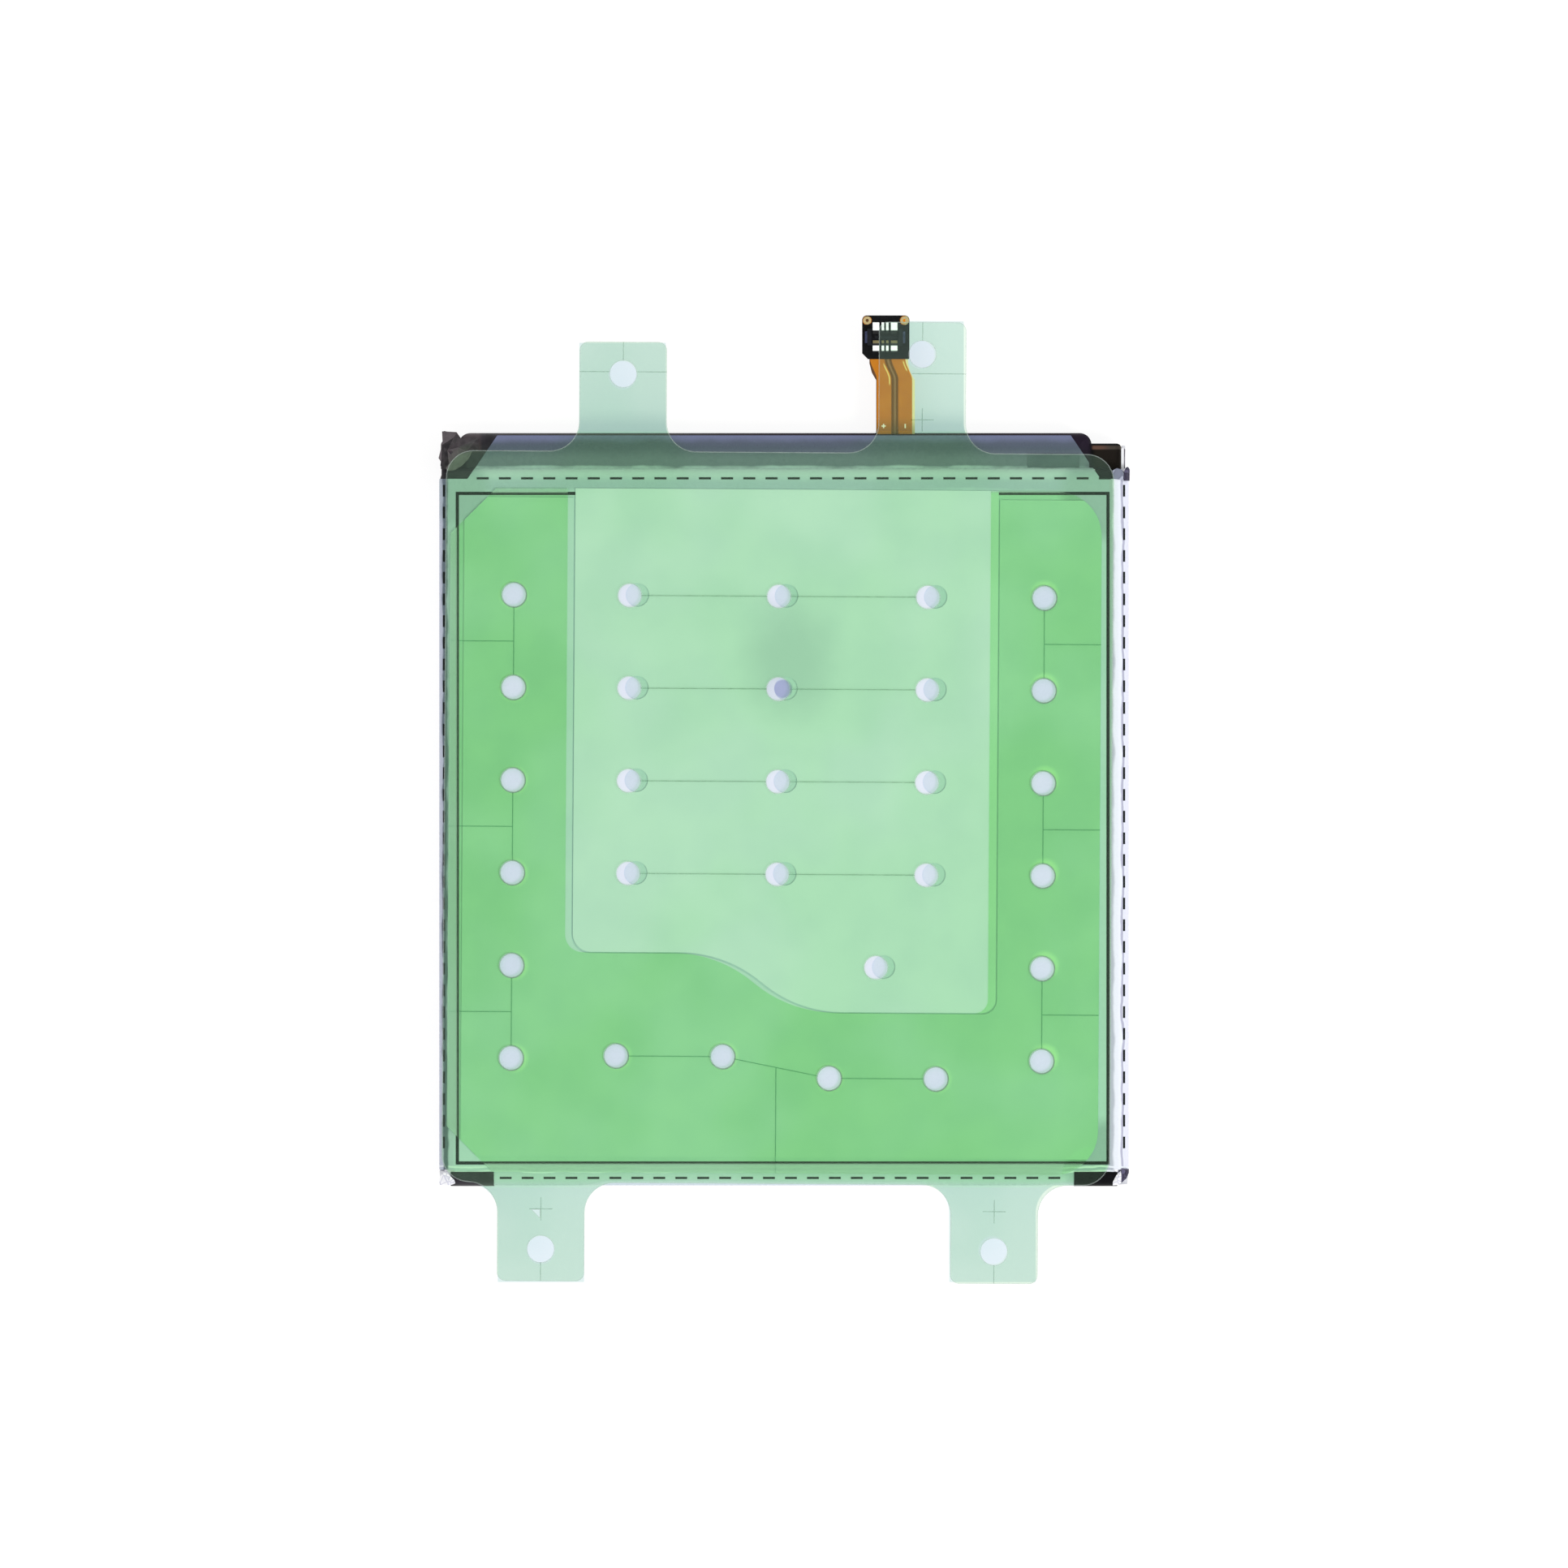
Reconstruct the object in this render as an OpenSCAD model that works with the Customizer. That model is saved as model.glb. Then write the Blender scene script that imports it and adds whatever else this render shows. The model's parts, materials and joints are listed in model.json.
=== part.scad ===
/* [Cell] */
// Width of the wrapped cell
cell_w = 65.4; // [60:0.1:76]
// Length of the wrapped cell, with the band over its terrace
cell_l = 71.4; // [66:0.1:90]
// Thickness of the wrapped cell, without the sheets stuck on its face
cell_t = 4.9; // [4.3:0.1:6.5]
// Radius where the face of the pouch turns into its walls
face_edge_r = 1; // [0.6:0.1:1.3]
// Radius where the back of the pouch turns into its walls
back_edge_r = 0.6; // [0.3:0.1:1]
// Radius of the upright corners of the pouch
upright_r = 1.2; // [0.8:0.1:2]
// Thickness of the sealed laminate, folded up each side and flat at the terrace
seal_t = 0.35; // [0.2:0.05:0.45]
// Length of the terrace, from the shoulder of the pouch to the top edge of the band
terrace_l = 3.4; // [3.2:0.1:5]

/* [Tapes] */
// Thickness of the black tape round the terrace
tape_t = 0.1; // [0.06:0.01:0.14]
// How much lower the band of black tape lies than the wrapped face
band_drop = 1; // [0.8:0.1:1.4]
// Height of the back of the band over the surface the cell lies on
band_back_gap = 0.25; // [0.15:0.05:0.4]
// Radius of the outer face edge of the band
band_edge_r = 1.2; // [0.6:0.1:1.4]
// Distance from the left side of the cell to the end of the band
band_left_gap = 1.8; // [1.4:0.1:3]
// Distance from the right side of the cell to the end of the band
band_right_gap = 3.5; // [2.4:0.1:4.5]
// How far the folded tape at the left end stays back from the top edge
left_fold_back = 0.7; // [0.4:0.1:1.2]
// How far the folded tape at the right end stays back from the top edge
right_fold_back = 1; // [0.6:0.1:1.4]
// Length of the black insulating patch on the band
patch_l = 4.9; // [3:0.1:7]
// Width of the black insulating patch on the band
patch_w = 1.3; // [0.8:0.1:1.6]
// Length of each black tape on the bottom corners
corner_tape_l = 4.1; // [2.5:0.1:6]
// Width of the bottom corner tapes on the face
corner_tape_w = 1.32; // [1.1:0.02:1.8]
// Thickness of the bottom corner tapes
corner_tape_t = 0.06; // [0.04:0.01:0.1]

/* [Wrap] */
// Thickness of the printed film wrapped round the cell
film_t = 0.08; // [0.05:0.01:0.12]
// Width of the film's lip on the back of the cell
back_lip = 7; // [4:0.5:12]
// Half of the width of the film's top flap at its end
flap_end_half = 27.2; // [22:0.1:29]
// Half of the width of the film's top flap at its fold
flap_root_half = 30; // [26:0.1:30.4]
// How far the end of the top flap stays back from the top edge
flap_back = 0.25; // [0.1:0.05:0.6]
// Cut-out of the film at the bottom corners
film_notch = 1.45; // [1:0.05:2]

/* [Print] */
// Thickness of the printed ink
ink_t = 0.02; // [0.01:0.01:0.03]
// Width of the printed frame line
frame_line_w = 0.3; // [0.15:0.05:0.6]
// Distance from the left side of the cell to the frame line
frame_left = 1.74; // [1.4:0.02:2.4]
// Distance from the right side of the cell to the frame line
frame_right = 1.99; // [1.4:0.02:2.6]
// Distance from the top edge of the band to the frame line
frame_top = 5.78; // [5:0.02:7]
// Distance from the bottom edge of the cell to the frame line
frame_bottom = 2.16; // [1.6:0.02:3]
// Length of one printed fold mark
mark_l = 1.12; // [0.6:0.02:1.6]
// Width of one printed fold mark
mark_w = 0.2; // [0.1:0.02:0.4]
// Distance from one fold mark to the next
mark_pitch = 2.08; // [1.8:0.02:3]
// Distance of the side fold marks from the side of the cell
mark_in = 0.46; // [0.3:0.02:0.9]
// Distance of the bottom fold marks from the bottom edge
mark_up = 0.74; // [0.5:0.02:1]

/* [Sheet stack] */
// Turn of the stack of sheets, which was laid on by hand
stack_skew = -0.36; // [-1:0.02:1]
// Thickness of the adhesive under the liners
adhesive_t = 0.12; // [0.08:0.01:0.2]
// Thickness of one release liner
liner_t = 0.1; // [0.06:0.01:0.2]
// Distance from the left side of the cell to the outer liner
liner_left_gap = 0.47; // [0.3:0.01:2]
// Distance from the right side of the cell to the outer liner
liner_right_gap = 1.62; // [0.4:0.01:2.5]
// Distance from the top edge of the cell to the outer liner
liner_top_gap = 1.87; // [1.2:0.01:3]
// Distance from the bottom edge of the cell to the outer liner
liner_bottom_gap = 0.18; // [0.1:0.01:1]
// Corner radius of the outer liner
liner_r = 2.6; // [1:0.1:4]
// Distance from the left edge of the outer liner to that of the inner liner
inner_left_gap = 0.46; // [0.2:0.01:1.5]
// Distance from the right edge of the outer liner to that of the inner liner
inner_right_gap = 1.13; // [0.2:0.01:2]
// Distance from the top edge of the outer liner to that of the inner liner
inner_top_gap = 3.6; // [3:0.05:5]
// Distance from the bottom edge of the outer liner to that of the inner liner
inner_bottom_gap = 0.98; // [0.4:0.02:2]
// Length of the cut left corners of the inner liner
inner_chamfer = 4.3; // [1:0.1:5]
// Radius of the round right corners of the inner liner
inner_r = 4.2; // [1:0.1:5]
// Distance by which the adhesive stays inside the printed frame line
adhesive_inset = 0.35; // [0.2:0.05:1]
// Depth of the kiss cuts in the liners, as a part of their thickness
cut_share = 0.5; // [0.3:0.1:0.7]
// Width of the kiss cuts in the liners
cut_w = 0.08; // [0.05:0.01:0.12]

/* [Window and patch] */
// Distance from the left edge of the inner liner to its window
window_left_gap = 11.1; // [9:0.1:13]
// Distance from the right edge of the inner liner to its window
window_right_gap = 10.5; // [9:0.1:13]
// Distance from the fifth row of holes down to the floor of the window
window_floor_gap = 4.3; // [3:0.1:5]
// Rise of the wavy edge from the floor of the window to its step
wave_rise = 5.58; // [4:0.02:6.5]
// Length of the wavy edge between its two straight ends
wave_l = 15.4; // [13:0.1:17]
// Straight length of the step before the wavy edge starts
wave_lead = 10.2; // [8:0.1:11]
// Corner radius of the window at the step
window_step_r = 1.7; // [0.5:0.1:2.5]
// Corner radius of the window at its floor
window_floor_r = 1.35; // [0.5:0.05:2.5]
// Sideways shift of the adhesive patch against the window over it
patch_shift_x = 0.72; // [0:0.02:1]
// Upward shift of the adhesive patch against the window over it
patch_shift_y = 0.06; // [0:0.02:0.4]
// Gap between the adhesive patch and the adhesive sheet round it
patch_gap = 0.12; // [0.05:0.01:0.3]

/* [Holes] */
// Radius of the vent holes through the outer liner
hole_r = 1.09; // [0.6:0.01:1.4]
// How much wider the holes in the adhesive are
hole_step = 0.15; // [0.05:0.01:0.4]
// Distance from each side of the outer liner to its column of holes
column_in = 6.52; // [5:0.02:8]
// Distance from the top edge of the outer liner to the first row of holes
first_row_down = 13.68; // [11:0.02:16]
// Distance from the bottom edge of the outer liner to the last row of holes
last_row_up = 11.77; // [10:0.02:14]
// Distance from the sides of the window to its outer columns of holes
grid_in = 5.93; // [4:0.01:8]
// Distance from the sides of the window to the ends of the bottom row of holes
low_row_in = 4.9; // [3:0.1:6]
// Height of the left pair of the bottom row over the last row of the side columns
low_row_up = 0.26; // [0:0.02:0.6]
// Drop of the right pair of the bottom row against the left pair
low_row_drop = 2; // [1:0.1:3]

/* [Tabs] */
// Width of the pull tabs of the outer liner
tab_w = 8.3; // [6:0.1:9]
// Corner radius at the end of the pull tabs
tab_r = 0.85; // [0.4:0.05:1.5]
// Radius where a pull tab grows out of the liner
tab_fillet_r = 2.8; // [1:0.1:3.6]
// Length of the top left tab
tab_l_top_left = 10.37; // [7:0.01:14]
// Length of the top right tab
tab_l_top_right = 12.41; // [7:0.01:16]
// Length of the bottom tabs
tab_l_bottom = 9.35; // [7:0.01:14]
// Distance from the left edge of the liner to the middle of the top left tab
tab_top_left_in = 16.74; // [12:0.02:20]
// Distance from the right edge of the liner to the middle of the top right tab
tab_top_right_in = 18.22; // [12:0.02:20]
// Distance from the left edge of the liner to the middle of the bottom left tab
tab_bottom_left_in = 9.43; // [7.5:0.01:14]
// Distance from the right edge of the liner to the middle of the bottom right tab
tab_bottom_right_in = 10.92; // [9.7:0.01:14]
// Radius of the jig hole in each tab
jig_r = 1.26; // [0.8:0.01:2]
// Distance from the end of a tab to its jig hole
jig_in = 3.05; // [2.4:0.05:4]
// Length of each arm of the crosses cut in the tabs
cross_arm = 1.1; // [0.6:0.05:1.5]

/* [Terrace parts] */
// Length of the protection board
board_l = 44; // [36:0.5:48]
// Width of the protection board
board_w = 2.5; // [2:0.1:2.6]
// Thickness of the protection board
board_t = 0.6; // [0.4:0.05:0.8]
// Height of the tallest component on the board
chip_h = 0.75; // [0.5:0.05:0.8]
// Free height between the tallest component and the tape
chip_gap = 0.1; // [0.05:0.05:0.3]
// Width of the leads of the cell
lead_w = 4; // [3:0.1:6]
// Thickness of the leads of the cell
lead_t = 0.1; // [0.08:0.01:0.12]
// Radius of the bends of the leads, at half their thickness
lead_bend_r = 0.2; // [0.15:0.01:0.25]
// Distance of the negative lead from the middle of the cell
negative_lead_x = 2; // [-3:0.5:4]
// Distance from one lead to the other
lead_pitch = 19; // [14:0.5:21]
// Thickness of the weld plates under the board
plate_t = 0.15; // [0.1:0.01:0.2]

/* [Flex tail] */
// Distance of the flex tail from the middle of the cell
flex_x = 10.58; // [8:0.02:12]
// Width of the flex tail
flex_w = 3.67; // [3:0.01:4.5]
// Thickness of the flex tail
flex_t = 0.15; // [0.1:0.01:0.2]
// Straight length of the tail beyond the top edge of the cell
flex_run = 5; // [3:0.1:9]
// Length of the jog between the tail and its head
jog_l = 2; // [1.5:0.1:3]
// Sideways shift of the jog
jog_shift = 0.64; // [0.3:0.02:1]
// Width of the head of the tail
head_w = 4.49; // [4.3:0.01:5.5]
// Length of the head of the tail
head_l = 4.15; // [3.8:0.01:5]
// Sideways shift of the head against the tail
head_shift = 0.92; // [0.5:0.02:1.2]
// Corner radius of the head
head_r = 0.45; // [0.2:0.05:0.8]
// Cut of the head's inner left corner
head_chamfer = 0.55; // [0.3:0.05:0.8]
// Thickness of the black cover film on the head
cover_t = 0.06; // [0.04:0.01:0.1]
// Thickness of the stiffener behind the head
stiffener_t = 0.2; // [0.1:0.05:0.4]
// Thickness of the copper lanes over the base film
lane_t = 0.03; // [0.02:0.01:0.05]

/* [Connector] */
// Length of the connector housing
plug_l = 3.4; // [3:0.1:3.8]
// Width of the connector housing
plug_w = 1.6; // [1.4:0.05:2]
// Height of the connector housing
plug_h = 0.7; // [0.5:0.05:1]
// Wall thickness of the connector housing
plug_wall = 0.2; // [0.15:0.01:0.25]
// Thickness of the floor of the connector housing
plug_floor = 0.2; // [0.15:0.01:0.3]
// Width of the tongue in the middle of the connector
tongue_w = 0.26; // [0.2:0.02:0.36]
// Thickness of the contacts
contact_t = 0.06; // [0.04:0.01:0.08]
// Reach of the contact tails beyond the housing
tail_l = 0.6; // [0.4:0.05:0.7]
// Width of a power contact
power_w = 0.62; // [0.4:0.02:0.7]
// Width of a signal contact
signal_w = 0.24; // [0.15:0.01:0.28]
// Distance of a power contact from the middle of the connector
power_x = 0.86; // [0.8:0.01:0.95]
// Distance of a signal contact from the middle of the connector
signal_x = 0.21; // [0.18:0.01:0.3]

/* [Hidden] */
$fn = 48;
far = 200;
half_w = cell_w / 2;
half_l = cell_l / 2;

// The pouch and the tape round its terrace fill this envelope, and the film lies on it
side_x = half_w - film_t;
low_y = -half_l + film_t;
back_z = film_t;
face_z = cell_t - film_t;
shoulder_y = half_l - terrace_l;
fold_y = shoulder_y - face_edge_r;
pouch_side_x = side_x - seal_t;
swell_gap = 0.5;

// Band of black tape round the terrace
band_face_z = cell_t - band_drop;
band_left_x = -half_w + band_left_gap;
band_right_x = half_w - band_right_gap;
band_root_y = shoulder_y - 4;
fold_corner_r = 0.5;
fold_sink = 0.35;
fold_lap = 2;
side_slack = 0.05;
seal_room = 0.6;
lobe_in = 3.2;

// Stack of sheets
adhesive_z = cell_t;
inner_z = adhesive_z + adhesive_t;
liner_z = inner_z + liner_t;
liner_left = -half_w + liner_left_gap;
liner_right = half_w - liner_right_gap;
liner_top = half_l - liner_top_gap;
liner_bottom = -half_l + liner_bottom_gap;
inner_left = liner_left + inner_left_gap;
inner_right = liner_right - inner_right_gap;
inner_top = liner_top - inner_top_gap;
inner_bottom = liner_bottom + inner_bottom_gap;
cut_d = liner_t * cut_share;

// Rows and columns of holes
ROWS = 6;
GRID_ROWS = 4;
GRID_COLUMNS = 3;
LOW_HOLES = 4;
first_row_y = liner_top - first_row_down;
last_row_y = liner_bottom + last_row_up;
row_pitch = (first_row_y - last_row_y) / (ROWS - 1);
left_column_x = liner_left + column_in;
right_column_x = liner_right - column_in;
window_left = inner_left + window_left_gap;
window_right = inner_right - window_right_gap;
window_floor = row_y(4) - window_floor_gap;
window_step = window_floor + wave_rise;
grid_pitch = (window_right - window_left - 2 * grid_in) / (GRID_COLUMNS - 1);
low_pitch = (window_right - window_left - 2 * low_row_in) / (LOW_HOLES - 1);

// The wavy edge is two equal arcs that meet half way
wave_r = (wave_l * wave_l + wave_rise * wave_rise) / (4 * wave_rise);
wave_x0 = window_left + wave_lead;
wave_x1 = wave_x0 + wave_l;

// Middle line of each tab
top_left_tab_x = liner_left + tab_top_left_in;
top_right_tab_x = liner_right - tab_top_right_in;
bottom_left_tab_x = liner_left + tab_bottom_left_in;
bottom_right_tab_x = liner_right - tab_bottom_right_in;
top_cross_up = 3.14;
bottom_cross_down = 2.5;
jig_cut_drop = 1.85;
jig_cut_rise = 0.2;

// Parts on the terrace, from the laminate up to the tape
seal_z = band_back_gap + tape_t;
seal_end_y = half_l - tape_t - 0.95;
insulator_t = 0.08;
chip_top_z = band_face_z - tape_t - chip_gap;
board_top_z = chip_top_z - chip_h;
board_z = board_top_z - board_t;
plate_z = board_z - plate_t;
lead_low_z = seal_z + seal_t / 2;
lead_high_z = plate_z - lead_t / 2;
lead_end_y = half_l - tape_t - 0.1 - lead_t / 2;
lead_back_y = shoulder_y + 0.5;
positive_lead_x = negative_lead_x - lead_pitch;
board_y = shoulder_y + 0.15 + board_w / 2;
board_x = -2.5;
sealant_out = 0.25;
chip_l = 1;
chip_w = 0.5;
chip_row = 0.55;
chip_pitch = 1.9;
sealant_side = 1;

// Flex tail and its head
flex_z = board_top_z;
flex_top_z = flex_z + flex_t;
flex_root_y = board_y - board_w / 4;
jog_y = half_l + flex_run;
head_y = jog_y + jog_l;
head_x = flex_x - head_shift;
plug_x = head_x - 0.07;
plug_y = head_y + head_l / 2;
plug_z = flex_top_z + cover_t;
pad_in = 0.48;
pad_r = 0.38;
slit_gap = 0.12;

// Height of one row of holes, counted from the top
function row_y(i) = first_row_y - i * row_pitch;
// Places of the holes over the inner liner
side_holes = [for (i = [0 : ROWS - 1]) for (x = [left_column_x, right_column_x]) [x, row_y(i)]];
low_holes = [for (i = [0 : LOW_HOLES - 1])
    [window_left + low_row_in + i * low_pitch,
     last_row_y + low_row_up - (i < LOW_HOLES / 2 ? 0 : low_row_drop)]];
// Places of the holes over the window
grid_holes = [for (i = [0 : GRID_ROWS - 1]) for (j = [0 : GRID_COLUMNS - 1])
    [window_left + grid_in + j * grid_pitch, row_y(i)]];
lone_hole = [window_right - grid_in - grid_pitch / 3, row_y(4)];

// Rectangle between two corners
module area(x0, y0, x1, y1) {
    translate([x0, y0]) square([x1 - x0, y1 - y0]);
}

// Rectangle with one radius at its lower corners and one at its upper corners
module round_area(x0, y0, x1, y1, low_r, high_r) {
    area(x0, y0 + low_r, x1, y1 - high_r);
    area(x0 + low_r, y0, x1 - low_r, y0 + low_r);
    area(x0 + high_r, y1 - high_r, x1 - high_r, y1);
    for (x = [x0 + low_r, x1 - low_r]) translate([x, y0 + low_r]) circle(low_r);
    for (x = [x0 + high_r, x1 - high_r]) translate([x, y1 - high_r]) circle(high_r);
}

// Block whose edges are round on the face, on the back and at the upright corners
module pillow(x0, x1, y0, y1, z0, z1, face_r, back_r, corner_r) {
    intersection() {
        rotate([90, 0, 0]) linear_extrude(far, center = true)
            round_area(x0, z0, x1, z1, back_r, face_r);
        rotate([90, 0, 90]) linear_extrude(far, center = true)
            round_area(y0, z0, y1, z1, back_r, face_r);
        linear_extrude(far, center = true) round_area(x0, y0, x1, y1, corner_r, corner_r);
    }
}

// Body of the cell, grown by g on every side
module body(g, half = side_x) {
    pillow(-half - g, half + g, low_y - g, shoulder_y + g, back_z - g, face_z + g,
        face_edge_r + g, back_edge_r + g, upright_r + g);
}

// Band over the terrace, grown by g on every side
module band(g) {
    pillow(band_left_x - g, band_right_x + g, band_root_y, half_l + g,
        band_back_gap - g, band_face_z + g, band_edge_r + g, fold_corner_r + g, upright_r + g);
}

// Folded tape at one end of the band, grown by g on every side
module end_fold(x0, x1, back, g) {
    pillow(x0 - g, x1 + g, band_root_y, half_l - back + g, band_back_gap + fold_sink - g,
        band_face_z - fold_sink + g, fold_corner_r + g, fold_corner_r + g, fold_corner_r + g);
}

// Folded tape at the left end of the band
module left_fold(g) {
    end_fold(-side_x + side_slack, band_left_x + fold_lap, left_fold_back, g);
}

// Folded tape at the right end of the band, which leaves room for the end of the side seal
module right_fold(g) {
    end_fold(band_right_x - fold_lap, side_x - seal_room, right_fold_back, g);
}

// Outer form of all the tape at the top end of the cell
module tape_form(g) {
    body(g);
    band(g);
    left_fold(g);
    right_fold(g);
}

// Places everything on the face under the same turn
module stack() {
    rotate([0, 0, stack_skew]) children();
}

// Sheet of thickness t at height z, from a flat outline
module sheet(z, t) {
    translate([0, 0, z]) linear_extrude(t) children();
}

// Thin straight cut between two points on a sheet
module line_cut(from, to) {
    run = to - from;
    translate(from) rotate(atan2(run[1], run[0])) translate([0, -cut_w / 2])
        square([norm(run), cut_w]);
}

// One crumpled facet of tape between three or four points
module facet(points) {
    hull() for (p = points) translate(p) cube(tape_t, center = true);
}

// Crumpled end of the tape at the top left corner
module left_ear() {
    x = -half_w;
    y = half_l;
    z = band_face_z;
    peak = [x + 0.4, y - 1.3, z + 0.55];
    ridge = [x + 1.1, y - 1.9, z + 0.6];
    tip = [x + 1.6, y, z + 0.3];
    notch = [x + 2.1, y - 0.7, z];
    facet([[x + 0.3, y + 0.1, z - 0.9], tip, peak]);
    facet([tip, notch, ridge, peak]);
    facet([notch, [x + 3.7, y - 0.5, z - 0.05], [x + 2.7, y - 2.1, z], ridge]);
    facet([peak, ridge, [x + 1.5, shoulder_y + 0.1, z + 0.2], [x + 0.15, shoulder_y + 0.3, z - 0.5]]);
}

// Upright corner of foil left where the side seal is folded over
module foil_ear(side) {
    x = side * side_x;
    s = -side;
    facet([[x - 0.02 * side, low_y + 1.3, face_z - 0.5], [x + 1.4 * s, low_y + 1.1, face_z - 0.02],
        [x + 1.1 * s, low_y + 0.05, face_z - 0.7], [x + 0.1 * s, low_y + 0.1, face_z - 1.2]]);
    facet([[x + 0.1 * s, low_y + 0.1, face_z - 1.2], [x + 1.1 * s, low_y + 0.05, face_z - 0.7],
        [x + 0.9 * s, low_y + 0.5, back_z + 0.8], [x + 0.05 * s, low_y + 0.4, back_z + 0.9]]);
}

// Laminate seal folded up against one side of the pouch
module side_seal(side) {
    x0 = side < 0 ? -side_x : pouch_side_x - seal_t / 2;
    translate([x0, low_y + upright_r, back_z + back_edge_r])
        cube([seal_t * 1.5, fold_y - 0.1 - low_y - upright_r, face_z - back_z - face_edge_r - back_edge_r]);
}

// End of the right seal that stands up beside the band
module seal_tip(g) {
    x0 = side_x - seal_room + side_slack;
    translate([x0 - g, fold_y - 1, band_back_gap + 1 - g])
        cube([seal_t * 0.9 + 2 * g, half_l - right_fold_back - 0.2 - fold_y + 1 + g,
            band_face_z - band_back_gap - 2 + 2 * g]);
}

// Flat of the pouch's back, which swells out flush with the lips of the film round it
module back_swell() {
    edge = back_lip + swell_gap;
    linear_extrude(back_z + 0.1)
        round_area(-half_w + edge, -half_l + edge, half_w - edge, fold_y - 2, upright_r, upright_r);
}

// Sealed pouch: cup, shoulder, terrace and folded side seals in one laminate
module pouch_cell() color("gainsboro") {
    intersection() {
        body(0, pouch_side_x);
        translate([-far / 2, -far, -far / 2]) cube([far, far + fold_y, far]);
    }
    intersection() {
        body(-tape_t, pouch_side_x);
        translate([-far / 2, fold_y - 0.5, -far / 2]) cube([far, far, far]);
    }
    translate([band_left_x + 0.5, shoulder_y - 1, seal_z])
        cube([band_right_x - band_left_x - 1, seal_end_y - shoulder_y + 1, seal_t]);
    back_swell();
    for (side = [-1, 1]) side_seal(side);
    for (side = [-1, 1]) foil_ear(side);
    seal_tip(0);
}

// Quarter of a bent strip, with its centre at the origin
module quarter_bend(r, t) {
    intersection() {
        difference() {
            circle(r + t / 2);
            circle(r - t / 2);
        }
        square(r + t);
    }
}

// Side view of a lead: out of the seal, up, and back under the weld plate
module lead_profile() {
    bend_y = lead_end_y - lead_bend_r;
    area(seal_end_y, lead_low_z - lead_t / 2, bend_y, lead_low_z + lead_t / 2);
    translate([bend_y, lead_low_z + lead_bend_r]) mirror([0, 1]) quarter_bend(lead_bend_r, lead_t);
    area(lead_end_y - lead_t / 2, lead_low_z + lead_bend_r, lead_end_y + lead_t / 2,
        lead_high_z - lead_bend_r);
    translate([bend_y, lead_high_z - lead_bend_r]) quarter_bend(lead_bend_r, lead_t);
    area(lead_back_y, lead_high_z - lead_t / 2, bend_y, lead_high_z + lead_t / 2);
}

// One lead of the cell
module lead(x) {
    translate([x - lead_w / 2, 0, 0]) rotate([90, 0, 90]) linear_extrude(lead_w) lead_profile();
}

// Sealant film that stands out of the seal on both sides of one lead
module lead_sealant(x) {
    w = lead_w + 2 * sealant_side;
    difference() {
        translate([x - w / 2, seal_end_y, seal_z + 0.04]) cube([w, sealant_out, seal_t - 0.08]);
        translate([x - lead_w / 2, seal_end_y - 1, lead_low_z - lead_t / 2]) cube([lead_w, 2, lead_t]);
    }
}

// Nickel plate under the board, welded to one lead
module weld_plate(x) {
    w = lead_w + 1;
    translate([x - w / 2, board_y - board_w / 2 + 0.3, plate_z])
        linear_extrude(plate_t) round_area(0, 0, w, board_w - 0.6, 0.3, 0.3);
}

module positive_lead() color("silver") lead(positive_lead_x);

module negative_lead() color("darkgray") lead(negative_lead_x);

module positive_sealant() color("beige") lead_sealant(positive_lead_x);

module negative_sealant() color("beige") lead_sealant(negative_lead_x);

module positive_weld_plate() color("lightgray") weld_plate(positive_lead_x);

module negative_weld_plate() color("lightgray") weld_plate(negative_lead_x);

// Insulating paper on the laminate under the leads
module board_insulator() color("khaki") {
    x0 = positive_lead_x - lead_w;
    x1 = negative_lead_x + lead_w;
    translate([x0, shoulder_y + 0.05, seal_z + seal_t]) cube([x1 - x0, seal_end_y - shoulder_y - 0.1, insulator_t]);
}

// Board with the protection circuit, with round ends
module protection_board() color("darkgreen") {
    translate([board_x, board_y, board_z]) linear_extrude(board_t)
        round_area(-board_l / 2, -board_w / 2, board_l / 2, board_w / 2, 0.5, 0.5);
}

// Chip package with a bevelled top edge
module package(l, w, h) {
    bevel = 0.08;
    translate([-l / 2, -w / 2, 0]) cube([l, w, h - bevel]);
    translate([-l / 2 + bevel, -w / 2 + bevel, h - bevel]) cube([l - 2 * bevel, w - 2 * bevel, bevel]);
}

// The two switching transistors beside the leads
module mosfets() color("dimgray") {
    for (x = [-12, -8.4]) translate([board_x + x, board_y, board_top_z]) package(3, 1.9, chip_h);
}

// The chip that watches the voltage and the current
module protection_ic() color("dimgray") {
    translate([board_x - 5, board_y, board_top_z]) package(1.8, 1.5, chip_h * 0.8);
}

// Resistors and capacitors in pairs along the board
module chip_components() color("burlywood") {
    for (i = [0 : 4]) for (side = [-1, 1])
        translate([board_x - 2.6 + i * chip_pitch, board_y + side * chip_row, board_top_z])
            package(chip_l, chip_w, chip_h * 0.6);
}

// Opening of the tape for the flex tail
module flex_slit() {
    translate([flex_x - flex_w / 2 - slit_gap, half_l - band_edge_r - tape_t, flex_z - slit_gap])
        cube([flex_w + 2 * slit_gap, 2 * band_edge_r, flex_t + 2 * slit_gap]);
}

// Black tape folded round the terrace, its ends pinched beside it
module terrace_tape() color("#22252b") {
    difference() {
        tape_form(0);
        tape_form(-tape_t);
        translate([-far / 2, -far + fold_y, -far / 2]) cube([far, far, far]);
        translate([-half_w + lobe_in, -far + shoulder_y, -far / 2]) cube([cell_w - 2 * lobe_in, far, far]);
        translate([-far / 2, -far + shoulder_y, -far / 2]) cube([far, far, far / 2 + band_face_z - 0.6]);
        flex_slit();
        seal_tip(0.05);
    }
    left_ear();
}

// Outer form that the film wraps: the body and the band
module film_form(g) {
    body(g);
    band(g);
}

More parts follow.
